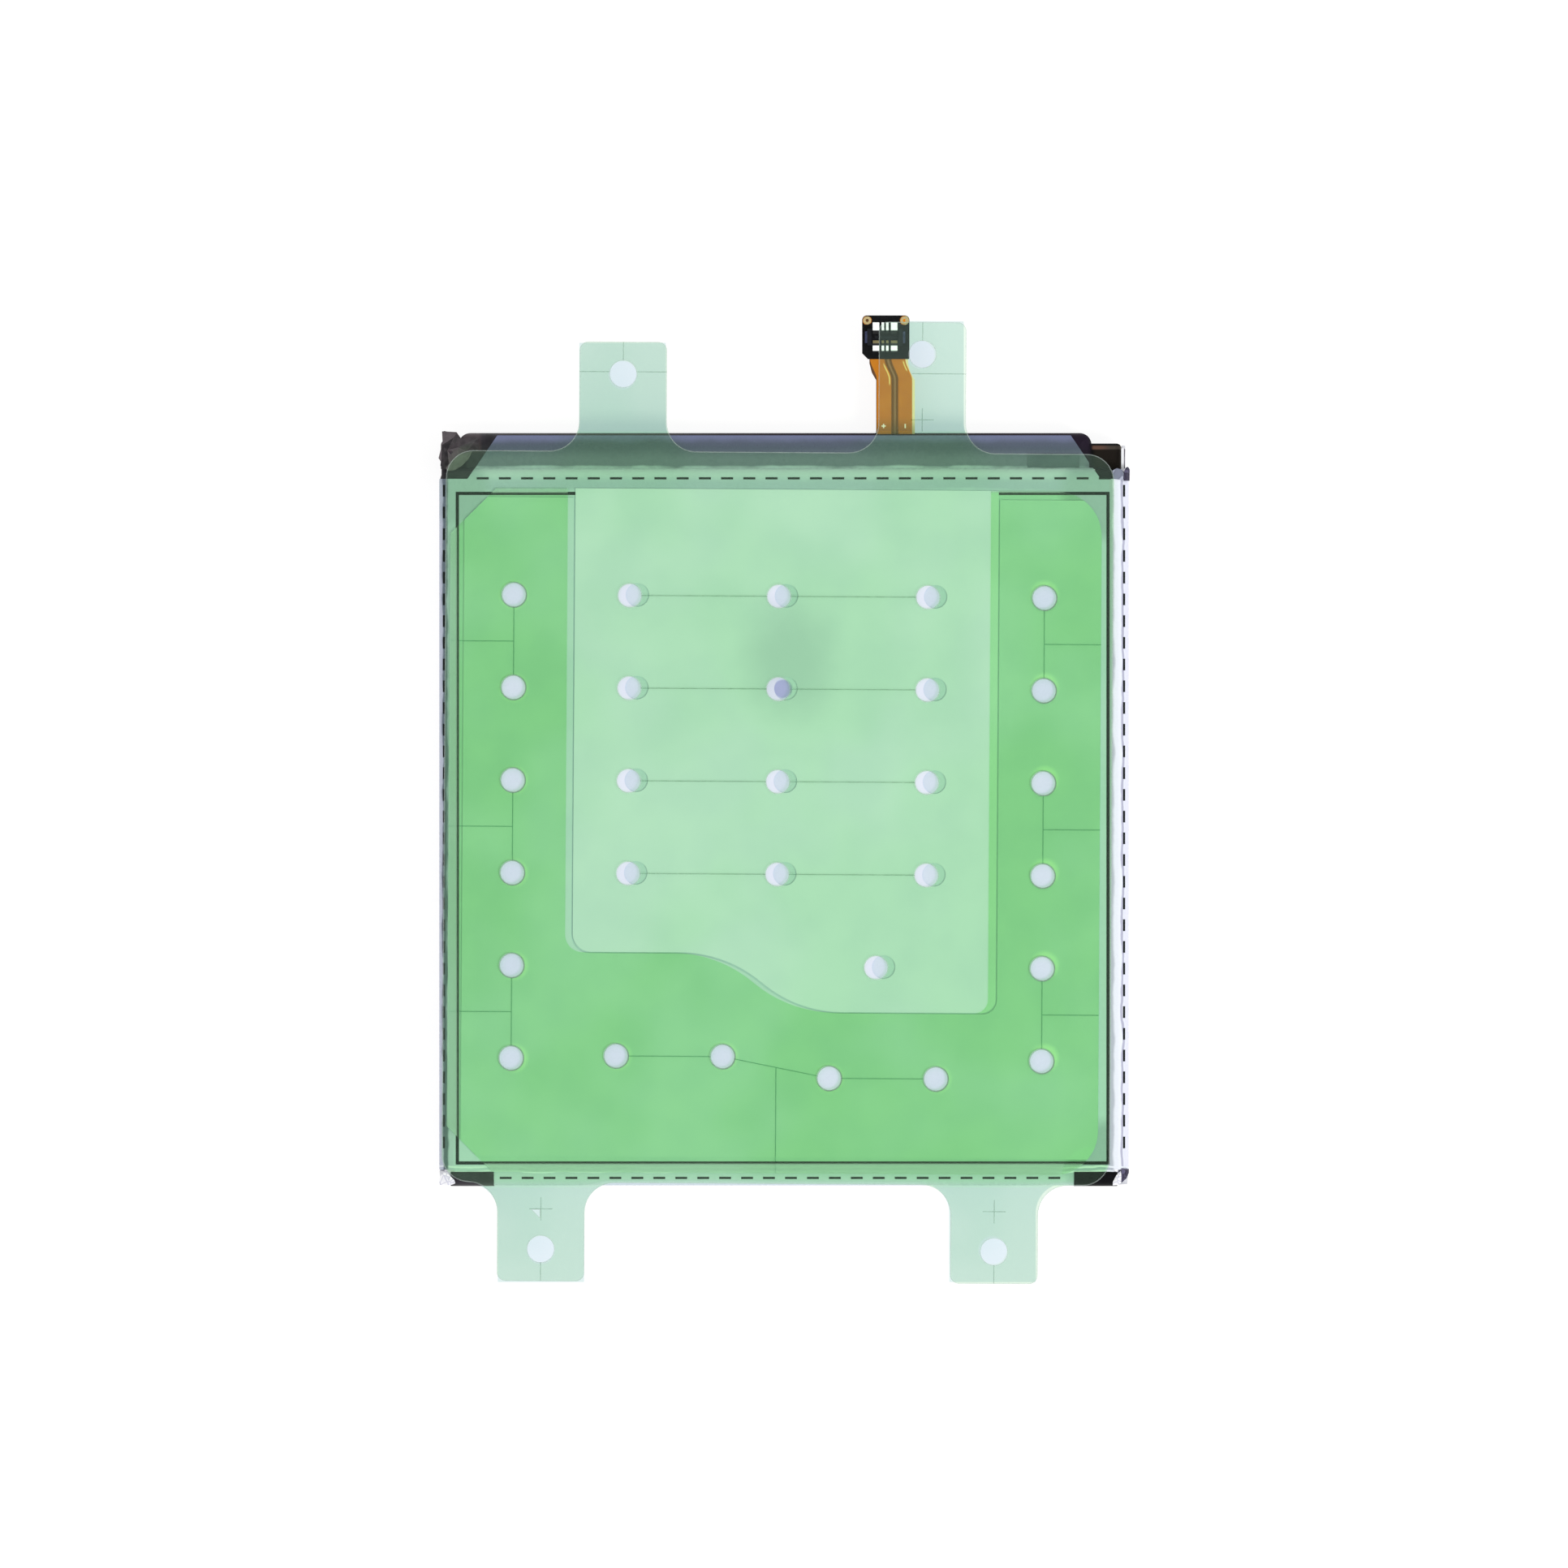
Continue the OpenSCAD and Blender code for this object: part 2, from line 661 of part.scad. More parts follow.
// Skin of thickness t on that form, at distance g from it
module film_skin(g, t) {
    difference() {
        film_form(g + t);
        film_form(g);
    }
}

// Patch of black insulating tape on the right end of the band
module insulating_patch() color("#1d2024") {
    translate([band_right_x - 1.2 - patch_l, shoulder_y + 0.12, band_face_z + film_t])
        cube([patch_l, patch_w, corner_tape_t]);
}

// Black tape over the film at one bottom corner
module corner_tape(side) {
    x0 = side < 0 ? -half_w + 1.1 : half_w - 1.1 - corner_tape_l;
    intersection() {
        difference() {
            body(film_t + corner_tape_t);
            body(film_t);
        }
        translate([x0, -far, back_edge_r + 0.2])
            cube([corner_tape_l, far - half_l + corner_tape_w, far]);
    }
}

module bottom_left_tape() color("#20242a") corner_tape(-1);

module bottom_right_tape() color("#20242a") corner_tape(1);

// Outline of the top flap of the film
module flap_outline() {
    end_y = half_l - flap_back;
    polygon([[-flap_root_half, fold_y], [flap_root_half, fold_y], [flap_end_half, end_y],
        [-flap_end_half, end_y]]);
}

// Printed film round the cell: face, side flaps with back lips, bottom flap and top flap
module label_wrap() color("#cfd6e4") {
    notch_y = low_y + film_notch;
    intersection() {
        difference() {
            body(film_t);
            body(0);
            translate([-half_w + back_lip, -half_l + back_lip, -1]) cube([cell_w - 2 * back_lip, far, 2]);
        }
        union() {
            translate([-far / 2, notch_y, -1]) cube([far, fold_y - notch_y, far]);
            translate([-half_w + film_notch, -far, -1]) cube([cell_w - 2 * film_notch, far - half_l + 3, far]);
        }
    }
    difference() {
        intersection() {
            film_skin(0, film_t);
            translate([0, 0, band_face_z - band_edge_r]) linear_extrude(far) flap_outline();
        }
        left_fold(0);
        right_fold(0);
    }
}

// Outline of the printed frame, moved inwards by d
module frame_outline(d) {
    area(-half_w + frame_left + d, -half_l + frame_bottom + d, half_w - frame_right - d,
        half_l - frame_top - d);
}

// Printed frame line on the face
module frame_print() color("#0c1a16") {
    sheet(cell_t, ink_t) difference() {
        frame_outline(-frame_line_w / 2);
        frame_outline(frame_line_w / 2);
    }
}

// Row of marks along x, between two ends
module mark_row(x0, x1, y) {
    for (x = [x0 : mark_pitch : x1]) translate([x - mark_l / 2, y - mark_w / 2, cell_t - 2])
        cube([mark_l, mark_w, 3]);
}

// Column of marks along y, between two ends
module mark_column(x, y0, y1) {
    for (y = [y0 : mark_pitch : y1]) translate([x - mark_w / 2, y - mark_l / 2, cell_t - 2])
        cube([mark_w, mark_l, 3]);
}

// Printed fold marks, which follow the round edges of the wrap
module fold_marks() color("#14211d") {
    tape_end = half_w - 1.1 - corner_tape_l - mark_l;
    intersection() {
        film_skin(film_t, ink_t);
        union() {
            mark_row(-flap_root_half - 0.5 + mark_l, flap_root_half - 0.5, fold_y - mark_w / 2);
            mark_row(-tape_end, tape_end, -half_l + mark_up);
            for (x = [-half_w + mark_in, half_w - mark_in])
                mark_column(x, -half_l + film_notch + mark_l, fold_y - 1);
        }
    }
}

// Outline of the window with its wavy lower edge, open at the top up to top_y
module window_outline(top_y) {
    middle_x = (wave_x0 + wave_x1) / 2;
    middle_y = (window_floor + window_step) / 2;
    difference() {
        union() {
            round_area(window_left, window_step, wave_x0 + window_step_r, top_y, window_step_r, 0.01);
            round_area(wave_x0, window_floor, window_right, top_y, window_floor_r, 0.01);
        }
        area(wave_x0 - 1, window_floor - 1, middle_x, middle_y);
        intersection() {
            translate([wave_x0, window_step - wave_r]) circle(wave_r, $fn = 160);
            area(wave_x0, middle_y - 0.5, middle_x, window_step + 1);
        }
        difference() {
            area(middle_x - 0.01, window_floor - 1, wave_x1, middle_y);
            translate([wave_x1, window_floor + wave_r]) circle(wave_r, $fn = 160);
        }
    }
}

// Round holes at a list of places
module holes(places, r) {
    for (p = places) translate(p) circle(r);
}

// White adhesive patch under the window, laid slightly to the side of it
module adhesive_patch() color("#e4e8f8") {
    stack() sheet(adhesive_z + ink_t, adhesive_t - ink_t) translate([patch_shift_x, patch_shift_y]) difference() {
        window_outline(inner_top);
        holes(concat(grid_holes, [lone_hole]), hole_r + 0.02);
    }
}

// Outline of the inner liner, before its window is cut
module inner_outline() {
    difference() {
        union() {
            area(inner_left, inner_bottom, inner_right - inner_r, inner_top);
            round_area(inner_left + inner_chamfer, inner_bottom, inner_right, inner_top, inner_r, inner_r);
        }
        for (y = [inner_bottom, inner_top]) translate([inner_left, y]) rotate(45)
            square(inner_chamfer * sqrt(2), center = true);
    }
}

// Clear adhesive sheet round the patch, inside the printed frame
module adhesive_sheet() color("#d9ead9", 0.5) {
    stack() sheet(adhesive_z + ink_t, adhesive_t - ink_t) difference() {
        intersection() {
            inner_outline();
            frame_outline(frame_line_w / 2 + adhesive_inset);
        }
        translate([patch_shift_x, patch_shift_y]) window_with_gap();
        holes(concat(side_holes, low_holes), hole_r + hole_step);
    }
}

// Window outline with the small gap round the patch on its two sides and below
module window_with_gap() {
    for (dx = [-patch_gap, patch_gap]) translate([dx, -patch_gap]) window_outline(inner_top + 1);
}

// Kiss cuts of the inner liner, from hole to hole and out to its edge
module inner_cuts() {
    for (i = [0 : 2 : ROWS - 2]) {
        middle = (row_y(i) + row_y(i + 1)) / 2;
        for (x = [left_column_x, right_column_x]) {
            line_cut([x, row_y(i)], [x, row_y(i + 1)]);
            line_cut([x, middle], [x < 0 ? inner_left - 1 : inner_right + 1, middle]);
        }
    }
    for (i = [0 : LOW_HOLES - 2]) line_cut(low_holes[i], low_holes[i + 1]);
    low_middle = (low_holes[1] + low_holes[2]) / 2;
    line_cut(low_middle, [low_middle[0], inner_bottom - 1]);
}

// Green inner liner: die cut round the window, with kiss cuts to peel it in parts
module inner_liner() color("#86cb92", 0.8) {
    stack() difference() {
        sheet(inner_z, liner_t) difference() {
            inner_outline();
            window_outline(inner_top + 1);
            holes(concat(side_holes, low_holes), hole_r + 0.03);
        }
        sheet(inner_z + liner_t - cut_d, 1) inner_cuts();
    }
}

// One pull tab that points along +y from a root line, with round roots
module tab_outline(l, left_r, right_r) {
    root = max(left_r, right_r);
    round_area(-tab_w / 2, -root - 0.5, tab_w / 2, l, 0.01, tab_r);
    difference() {
        area(-tab_w / 2 - left_r, -0.5, tab_w / 2 + right_r, root);
        translate([-tab_w / 2 - left_r, left_r]) circle(left_r);
        translate([tab_w / 2 + right_r, right_r]) circle(right_r);
        area(-tab_w / 2 - left_r - 1, left_r, -tab_w / 2, root + 1);
        area(tab_w / 2, right_r, tab_w / 2 + right_r + 1, root + 1);
    }
}

// Places children on the root of one tab: x, root height, and +1 for up or -1 for down
module at_tab(x, y, way) {
    translate([x, y]) mirror([0, way < 0 ? 1 : 0]) children();
}

// Outer outline of the liner with its four tabs
module liner_outline() {
    round_area(liner_left, liner_bottom, liner_right, liner_top, liner_r, liner_r);
    at_tab(top_left_tab_x, liner_top, 1) tab_outline(tab_l_top_left, tab_fillet_r, tab_fillet_r);
    at_tab(top_right_tab_x, liner_top, 1) tab_outline(tab_l_top_right, tab_fillet_r, tab_fillet_r);
    at_tab(bottom_left_tab_x, liner_bottom, -1) tab_outline(tab_l_bottom, tab_fillet_r, tab_fillet_r);
    at_tab(bottom_right_tab_x, liner_bottom, -1) tab_outline(tab_l_bottom, tab_fillet_r, tab_fillet_r);
}

// Kiss cut cross with four equal arms
module cross_cut(p) {
    line_cut(p - [cross_arm, 0], p + [cross_arm, 0]);
    line_cut(p - [0, cross_arm], p + [0, cross_arm]);
}

// Kiss cuts of the outer liner: between the window's holes, and on the tabs
module liner_cuts() {
    for (i = [0 : GRID_ROWS - 1])
        line_cut([window_left + grid_in, row_y(i)], [window_right - grid_in, row_y(i)]);
    at_tab(top_left_tab_x, liner_top, 1) {
        jig_y = tab_l_top_left - jig_in;
        line_cut([0, jig_y], [0, tab_l_top_left + 1]);
        line_cut([-tab_w, jig_y + jig_cut_rise], [tab_w, jig_y + jig_cut_rise]);
    }
    at_tab(top_right_tab_x, liner_top, 1) {
        jig_y = tab_l_top_right - jig_in;
        line_cut([0, jig_y], [0, tab_l_top_right + 1]);
        line_cut([-tab_w / 8, jig_y - jig_cut_drop], [tab_w, jig_y - jig_cut_drop]);
        cross_cut([0, top_cross_up]);
    }
    for (x = [bottom_left_tab_x, bottom_right_tab_x]) at_tab(x, liner_bottom, -1) {
        line_cut([0, tab_l_bottom - jig_in], [0, tab_l_bottom + 1]);
        cross_cut([0, bottom_cross_down]);
    }
}

// Jig hole near the end of each tab
module jig_holes() {
    at_tab(top_left_tab_x, liner_top, 1) translate([0, tab_l_top_left - jig_in]) circle(jig_r);
    at_tab(top_right_tab_x, liner_top, 1) translate([0, tab_l_top_right - jig_in]) circle(jig_r);
    for (x = [bottom_left_tab_x, bottom_right_tab_x])
        at_tab(x, liner_bottom, -1) translate([0, tab_l_bottom - jig_in]) circle(jig_r);
}

// Small corner torn out of the cross on the bottom left tab
module torn_corner() {
    at_tab(bottom_left_tab_x, liner_bottom, -1) translate([0, bottom_cross_down])
        polygon([[-0.12, 0.08], [-0.85, 0.08], [-0.12, 0.8]]);
}

// Green outer liner with its pull tabs, vent holes and kiss cuts
module release_liner() color("#b5dcbd", 0.7) {
    stack() difference() {
        sheet(liner_z, liner_t) difference() {
            liner_outline();
            holes(concat(side_holes, low_holes, grid_holes, [lone_hole]), hole_r);
            jig_holes();
            torn_corner();
        }
        sheet(liner_z + liner_t - cut_d, 1) liner_cuts();
    }
}

// Sideways place of a line on the tail after the jog
function jogged(x) = x - jog_shift;

// Strip of the tail between two distances from its middle, from a start height to an end height
module tail_strip(a, b, y0, y1) {
    x0 = flex_x + a;
    x1 = flex_x + b;
    knee = 0.36;
    polygon([[x0, y0], [x1, y0], [x1, jog_y], [x1 - jog_shift * 0.65, jog_y + jog_l * knee],
        [jogged(x1), jog_y + jog_l * 0.8], [jogged(x1), y1], [jogged(x0), y1],
        [jogged(x0), jog_y + jog_l * 0.8], [x0 - jog_shift * 0.65, jog_y + jog_l * knee], [x0, jog_y]]);
}

// Outline of the head, with its cut inner left corner
module head_outline() {
    x0 = head_x - head_w / 2;
    difference() {
        round_area(x0, head_y, x0 + head_w, head_y + head_l, 0.15, head_r);
        polygon([[x0 - 1, head_y - 1], [x0 + head_chamfer + 1, head_y - 1],
            [x0 - 1, head_y + head_chamfer + 1]]);
    }
}

// Polyimide tail with its head, one flexible board
module flex_tail() color("#d98a1e") {
    sheet(flex_z, flex_t) {
        tail_strip(-flex_w / 2, flex_w / 2, flex_root_y, head_y + 0.2);
        head_outline();
    }
}

// The two wide copper lanes and the thin one between them, under their cover film
module flex_lanes() color("#e8a034") {
    edge = 0.13;
    lane_gap = 0.33;
    sheet(flex_top_z, lane_t) {
        tail_strip(-flex_w / 2 + edge, -lane_gap, half_l + 0.2, head_y);
        tail_strip(lane_gap, flex_w / 2 - edge, half_l + 0.2, head_y);
        tail_strip(-0.05, 0.05, half_l + 0.2, head_y);
    }
}

// Places children at the two ring pads on the head
module at_pads() {
    for (x = [head_x - head_w / 2 + pad_in, head_x + head_w / 2 - pad_in])
        translate([x, head_y + head_l - pad_in]) children();
}

// Black cover film on the head, open at the ring pads
module head_cover() color("#17181b") {
    sheet(flex_top_z, cover_t) difference() {
        head_outline();
        at_pads() circle(pad_r + 0.06);
        at_pads() translate([-0.1, 0]) square(0.1);
    }
}

// Stiffener behind the head
module head_stiffener() color("#2a2b2e") {
    sheet(flex_z - stiffener_t, stiffener_t) head_outline();
}

// Gilded ring pads in the outer corners of the head
module ring_pads() color("#e2b35c") {
    sheet(flex_top_z, cover_t) at_pads() difference() {
        circle(pad_r);
        circle(pad_r * 0.4);
    }
}

// Connector housing: a ring of walls with a tongue in the middle
module connector_housing() color("#15171a") {
    inner_l = plug_l - 4 * plug_wall;
    inner_w = plug_w - 2 * plug_wall;
    translate([plug_x, plug_y, plug_z]) difference() {
        linear_extrude(plug_h) round_area(-plug_l / 2, -plug_w / 2, plug_l / 2, plug_w / 2, 0.12, 0.12);
        translate([0, 0, plug_floor]) linear_extrude(plug_h) difference() {
            area(-inner_l / 2, -inner_w / 2, inner_l / 2, inner_w / 2);
            area(-inner_l / 2 + 0.3, -tongue_w / 2, inner_l / 2 - 0.3, tongue_w / 2);
        }
    }
}

// Side view of one contact: solder tail, over the wall, and a spring foot on the floor
module contact_profile() {
    wall_out = plug_w / 2;
    wall_in = wall_out - plug_wall;
    area(wall_out, 0, wall_out + tail_l, contact_t);
    area(wall_out, 0, wall_out + contact_t, plug_h + contact_t);
    area(wall_in - contact_t, plug_h, wall_out + contact_t, plug_h + contact_t);
    area(wall_in - contact_t, plug_floor, wall_in, plug_h + contact_t);
    area(wall_in - 0.28, plug_floor, wall_in, plug_floor + contact_t);
}

// Contacts of one width at a distance to both sides of the middle, on both walls
module contact_set(x, w) {
    for (sx = [-1, 1]) for (sy = [0, 1]) translate([plug_x + sx * x, plug_y, plug_z])
        mirror([0, sy, 0]) translate([-w / 2, 0, 0])
            rotate([90, 0, 90]) linear_extrude(w) contact_profile();
}

module power_contacts() color("#d8c490") contact_set(power_x, power_w);

module signal_contacts() color("#d8c490") contact_set(signal_x, signal_w);

// Metal clips that hold the ends of the housing down
module hold_downs() color("#8e97b0") {
    clip_t = 0.06;
    for (side = [-1, 1]) translate([plug_x + side * (plug_l / 2 + clip_t / 2), plug_y, plug_z]) {
        translate([-clip_t / 2, -0.55, 0]) cube([clip_t, 1.1, plug_h * 0.9]);
        translate([side < 0 ? -0.18 : 0, -0.55, 0]) cube([0.18, 1.1, clip_t]);
    }
}

pouch_cell();
positive_lead();
negative_lead();
positive_sealant();
negative_sealant();
positive_weld_plate();
negative_weld_plate();
board_insulator();
protection_board();
mosfets();
protection_ic();
chip_components();
terrace_tape();
insulating_patch();
bottom_left_tape();
bottom_right_tape();
label_wrap();
frame_print();
fold_marks();
adhesive_patch();
adhesive_sheet();
inner_liner();
release_liner();
flex_tail();
flex_lanes();
head_cover();
head_stiffener();
ring_pads();
connector_housing();
power_contacts();
signal_contacts();
hold_downs();
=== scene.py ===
# %% [markdown]
# # A phone battery under its green release liners
# This lesson dresses the imported model of a flat phone battery. The CAD model already has every film, tape
# and contact in its place, so Blender's work is the look of each surface and the small crumpled pieces that
# no drawing gives. We load the model first.

# %% Load the imported model
import json
import math
import bmesh
import bpy
import numpy as np
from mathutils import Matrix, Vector


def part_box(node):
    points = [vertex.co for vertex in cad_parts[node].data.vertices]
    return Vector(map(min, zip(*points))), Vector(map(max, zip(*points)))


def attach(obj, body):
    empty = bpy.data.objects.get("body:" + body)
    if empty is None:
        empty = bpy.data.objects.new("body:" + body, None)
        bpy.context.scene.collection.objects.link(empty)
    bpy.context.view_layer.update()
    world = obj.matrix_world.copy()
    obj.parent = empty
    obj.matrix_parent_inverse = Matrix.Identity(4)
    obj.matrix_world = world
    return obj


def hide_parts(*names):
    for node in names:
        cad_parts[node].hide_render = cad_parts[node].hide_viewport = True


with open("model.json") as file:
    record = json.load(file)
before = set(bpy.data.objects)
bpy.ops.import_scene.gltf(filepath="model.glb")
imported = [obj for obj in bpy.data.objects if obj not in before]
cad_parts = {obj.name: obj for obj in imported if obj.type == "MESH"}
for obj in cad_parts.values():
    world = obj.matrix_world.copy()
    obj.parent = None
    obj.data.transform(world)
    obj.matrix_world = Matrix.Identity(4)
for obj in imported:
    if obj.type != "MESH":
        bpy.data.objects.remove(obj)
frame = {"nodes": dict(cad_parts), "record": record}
nodes = frame["nodes"]
bpy.context.scene.view_settings.view_transform = "Standard"
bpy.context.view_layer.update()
MM = 0.001

# %% [markdown]
# The battery was photographed from straight above with a long lens, so its sides hardly
# show. A perspective camera more than a metre up gives that view. The lens follows from
# similar triangles: the sensor is to the focal length as the frame is to the distance.

# %% Camera
FRAME_MM = 148.6
VIEW_Y_MM = 2.38
CAMERA_UP = 1.4
FACE_MM = 5
SENSOR = 36.0

camera_data = bpy.data.cameras.new("photo_camera")
camera_data.sensor_width = SENSOR
camera_data.sensor_fit = "HORIZONTAL"
camera_data.lens = SENSOR * (CAMERA_UP - FACE_MM * MM) / (FRAME_MM * MM)
camera_data.clip_start = 0.05
camera = bpy.data.objects.new("photo_camera", camera_data)
camera.location = (0, VIEW_Y_MM * MM, CAMERA_UP)
bpy.context.scene.collection.objects.link(camera)
bpy.context.scene.camera = camera
print("lens", round(camera_data.lens, 1), "mm")

# %% [markdown]
# Shaders want linear colours, while a colour picker gives sRGB ones, so one function turns
# hex values to linear. A second function adds any node with its settings and its links.
# A third starts a material with the object's own coordinates at hand, and two more end it.

# %% Colour and node helpers
def linear(hex_colour):
    """Gives the linear colour of an sRGB hex value: a straight part near black, a power above it."""
    srgb = np.array([int(hex_colour[i:i + 2], 16) / 255 for i in (1, 3, 5)])
    value = np.where(srgb <= 0.04045, srgb / 12.92, ((srgb + 0.055) / 1.055) ** 2.4)
    return (*[float(v) for v in value], 1.0)


def add(tree, kind, inputs=None, **settings):
    """Adds one node. An input is a value, or the output socket that feeds it."""
    node = tree.nodes.new(kind)
    for name, value in settings.items():
        setattr(node, name, value)
    for name, value in (inputs or {}).items():
        if isinstance(value, bpy.types.NodeSocket):
            tree.links.new(value, node.inputs[name])
        else:
            node.inputs[name].default_value = value
    return node


def begin(name):
    """Starts a material and gives it back with its tree and its place coordinates."""
    material = bpy.data.materials.new(name)
    material.use_nodes = True
    material.node_tree.nodes.clear()
    tree = material.node_tree
    return material, tree, add(tree, "ShaderNodeTexCoord").outputs["Object"]


def end(tree, shader):
    """Joins the last shader to the material's output."""
    add(tree, "ShaderNodeOutputMaterial", {"Surface": shader.outputs[0]})


def coat(tree, sockets):
    """Ends a material with one Principled shader that has these sockets."""
    end(tree, add(tree, "ShaderNodeBsdfPrincipled", sockets))


# %% [markdown]
# A mask is a value that is one where a finish lies and nought elsewhere. Masks come from
# the place on an axis or from the distance to a point, always with a soft side, and they
# are joined by the product or by the largest value. These recipes take real millimetres.

# %% Masks
def math_node(tree, operation, a, b=0.0):
    """One step of arithmetic on values or sockets."""
    return add(tree, "ShaderNodeMath", {0: a, 1: b}, operation=operation).outputs[0]


def times(tree, a, b):
    """The product of two values. Two masks give the places that both of them cover."""
    return math_node(tree, "MULTIPLY", a, b)


def largest(tree, *values):
    """The largest of several values. Masks give the places that any of them covers."""
    result = values[0]
    for value in values[1:]:
        result = math_node(tree, "MAXIMUM", result, value)
    return result


def axis(tree, place, letter):
    """One coordinate of the place, in metres."""
    return add(tree, "ShaderNodeSeparateXYZ", {"Vector": place}).outputs[letter]


def span(tree, value, start, stop, low=0.0, high=1.0, kind="SMOOTHSTEP"):
    """Maps a value smoothly, or evenly with the kind LINEAR, from its range start..stop to low..high."""
    return add(tree, "ShaderNodeMapRange",
               {"Value": value, "From Min": start, "From Max": stop, "To Min": low, "To Max": high},
               interpolation_type=kind).outputs[0]


def ramp(tree, value, start_mm, stop_mm, low=0.0, high=1.0):
    """Goes smoothly from low to high between two places on an axis."""
    return span(tree, value, start_mm * MM, stop_mm * MM, low, high)


def band(tree, value, low_mm, high_mm, soft_mm=0.03):
    """One between two places on an axis, nought beyond them, with soft sides."""
    rise = ramp(tree, value, low_mm - soft_mm, low_mm + soft_mm)
    fall = ramp(tree, value, high_mm - soft_mm, high_mm + soft_mm, 1.0, 0.0)
    return times(tree, rise, fall)


def near(tree, place, centre_mm, radius_mm, soft_mm):
    """One inside a sphere round a centre and nought outside it, with a soft side."""
    centre = [v * MM for v in centre_mm]
    away = add(tree, "ShaderNodeVectorMath", {0: place, 1: centre}, operation="DISTANCE").outputs[1]
    return ramp(tree, away, radius_mm, radius_mm + soft_mm, 1.0, 0.0)


# %% [markdown]
# Almost every surface here needs soft clouds of a given size, a blend of two colours and a
# bump. The noise behind the clouds hardly leaves the range from 0.3 to 0.7, so that range
# is what the blend of a mottled colour runs over.

# %% Pattern recipes
CLOUD_RANGE = (0.3, 0.7)


def clouds(tree, place, size_mm, detail=3.0, stretch=(1, 1, 1)):
    """Noise whose blobs are about size_mm wide: its scale is one over that size in metres."""
    mapped = add(tree, "ShaderNodeMapping", {"Vector": place, "Scale": stretch}).outputs[0]
    return add(tree, "ShaderNodeTexNoise",
               {"Vector": mapped, "Scale": 1 / (size_mm * MM), "Detail": detail}).outputs[0]


def blend(tree, factor, low, high):
    """A colour between two hex colours, linear colours or sockets, by a factor from 0 to 1."""
    ends = [linear(c) if isinstance(c, str) else c for c in (low, high)]
    return add(tree, "ShaderNodeMix", {0: factor, 6: ends[0], 7: ends[1]}, data_type="RGBA").outputs[2]


def mottled(tree, pattern, low, high):
    """Two colours that follow a cloud pattern."""
    return blend(tree, span(tree, pattern, *CLOUD_RANGE), low, high)


def bump(tree, height, depth_mm, strength=1.0, flat=False):
    """A bump whose full height is depth_mm. On a flat sheet it starts from each face's own normal."""
    sockets = {"Height": height, "Distance": depth_mm * MM, "Strength": strength}
    if flat:
        sockets["Normal"] = add(tree, "ShaderNodeNewGeometry").outputs["True Normal"]
    return add(tree, "ShaderNodeBump", sockets).outputs[0]


# %% [markdown]
# The lamp and the sky light the battery at a plain level: together they make a flat white
# surface come out white. The sky gives most of it, and a large soft lamp on the right and
# a little below gives the bright right wall and the darker left and top walls of the photo.

# %% Sky and lamp
SKY_STRENGTH = 0.72
LAMP_PLACE = (0.55, -0.35, 0.75)
LAMP_SHARE = 0.3
LAMP_WIDTH = 0.35

world = bpy.data.worlds.new("studio")
world.use_nodes = True
bpy.context.scene.world = world
background = world.node_tree.nodes["Background"]
background.inputs["Color"].default_value = (1, 1, 1, 1)
background.inputs["Strength"].default_value = SKY_STRENGTH

lamp_data = bpy.data.lights.new("soft_box", "AREA")
lamp_data.shape = "DISK"
lamp_data.size = LAMP_WIDTH
lamp = bpy.data.objects.new("soft_box", lamp_data)
lamp.location = LAMP_PLACE
lamp_distance = math.sqrt(sum(v * v for v in LAMP_PLACE))
lamp_slope = LAMP_PLACE[2] / lamp_distance
lamp_data.energy = LAMP_SHARE * math.pi ** 2 * lamp_distance ** 2 / lamp_slope
lamp.rotation_euler = Vector(LAMP_PLACE).to_track_quat("Z", "Y").to_euler()
bpy.context.scene.collection.objects.link(lamp)
print("lamp", round(lamp_data.energy, 2), "W at", round(lamp_distance, 2), "m")

# %% [markdown]
# The floor is white paper. In the photo it is pure white, and only the soft shadow in the jig holes of the
# tabs shows it a little blue. For the camera and for mirror rays the paper is partly lit by itself, with
# warm paper and blue light that add up to white: nearly all of it on the open floor. Under the four tabs and
# under their jig holes the floor carries a painted shadow: only about half of that own light, tinted as if
# it had come through green film. For all other rays it is plain pale paper. A tab joins the cell on two
# round fillets, so the painted shadow under a tab flares out at its root as a quarter circle does.

# %% Floor
TAB_HALF_W = 4.12
TAB_FILLET_R = 2.8
TAB_SOFT = 0.06
JIG_R, JIG_SOFT = 1.26, 0.15
TABS = {"top_left": (-15.35, 33.9, 44.35, 41.25), "top_right": (12.98, 33.9, 46.4, 43.2),
        "bottom_left": (-23.12, -35.6, -45.0, -41.95), "bottom_right": (19.83, -35.6, -45.0, -41.95)}
FLOOR_HALF = 1.5
FLOOR_Z = -0.00002


def tab_shadow_mask(tree, x_place, y_place, x, root_y, end_y):
    """One under a tab, where the floor gets its painted shadow. Its half width grows by r (1 - sqrt(1 -
    t^2)), where r is the fillet's radius and t goes from nought at the fillet's start to one at the root."""
    fillet_start = root_y + math.copysign(TAB_FILLET_R, root_y)
    into_fillet = span(tree, y_place, fillet_start * MM, root_y * MM, kind="LINEAR")
    squared = math_node(tree, "POWER", into_fillet, 2.0)
    arc = math_node(tree, "SQRT", math_node(tree, "SUBTRACT", 1.0, squared))
    flare = times(tree, math_node(tree, "SUBTRACT", 1.0, arc), TAB_FILLET_R * MM)
    off_middle = math_node(tree, "ABSOLUTE", math_node(tree, "SUBTRACT", x_place, x * MM))
    off_straight = math_node(tree, "SUBTRACT", off_middle, flare)
    across = ramp(tree, off_straight, TAB_HALF_W - TAB_SOFT, TAB_HALF_W + TAB_SOFT, 1.0, 0.0)
    along = band(tree, y_place, min(root_y, end_y), max(root_y, end_y), TAB_SOFT)
    return times(tree, across, along)


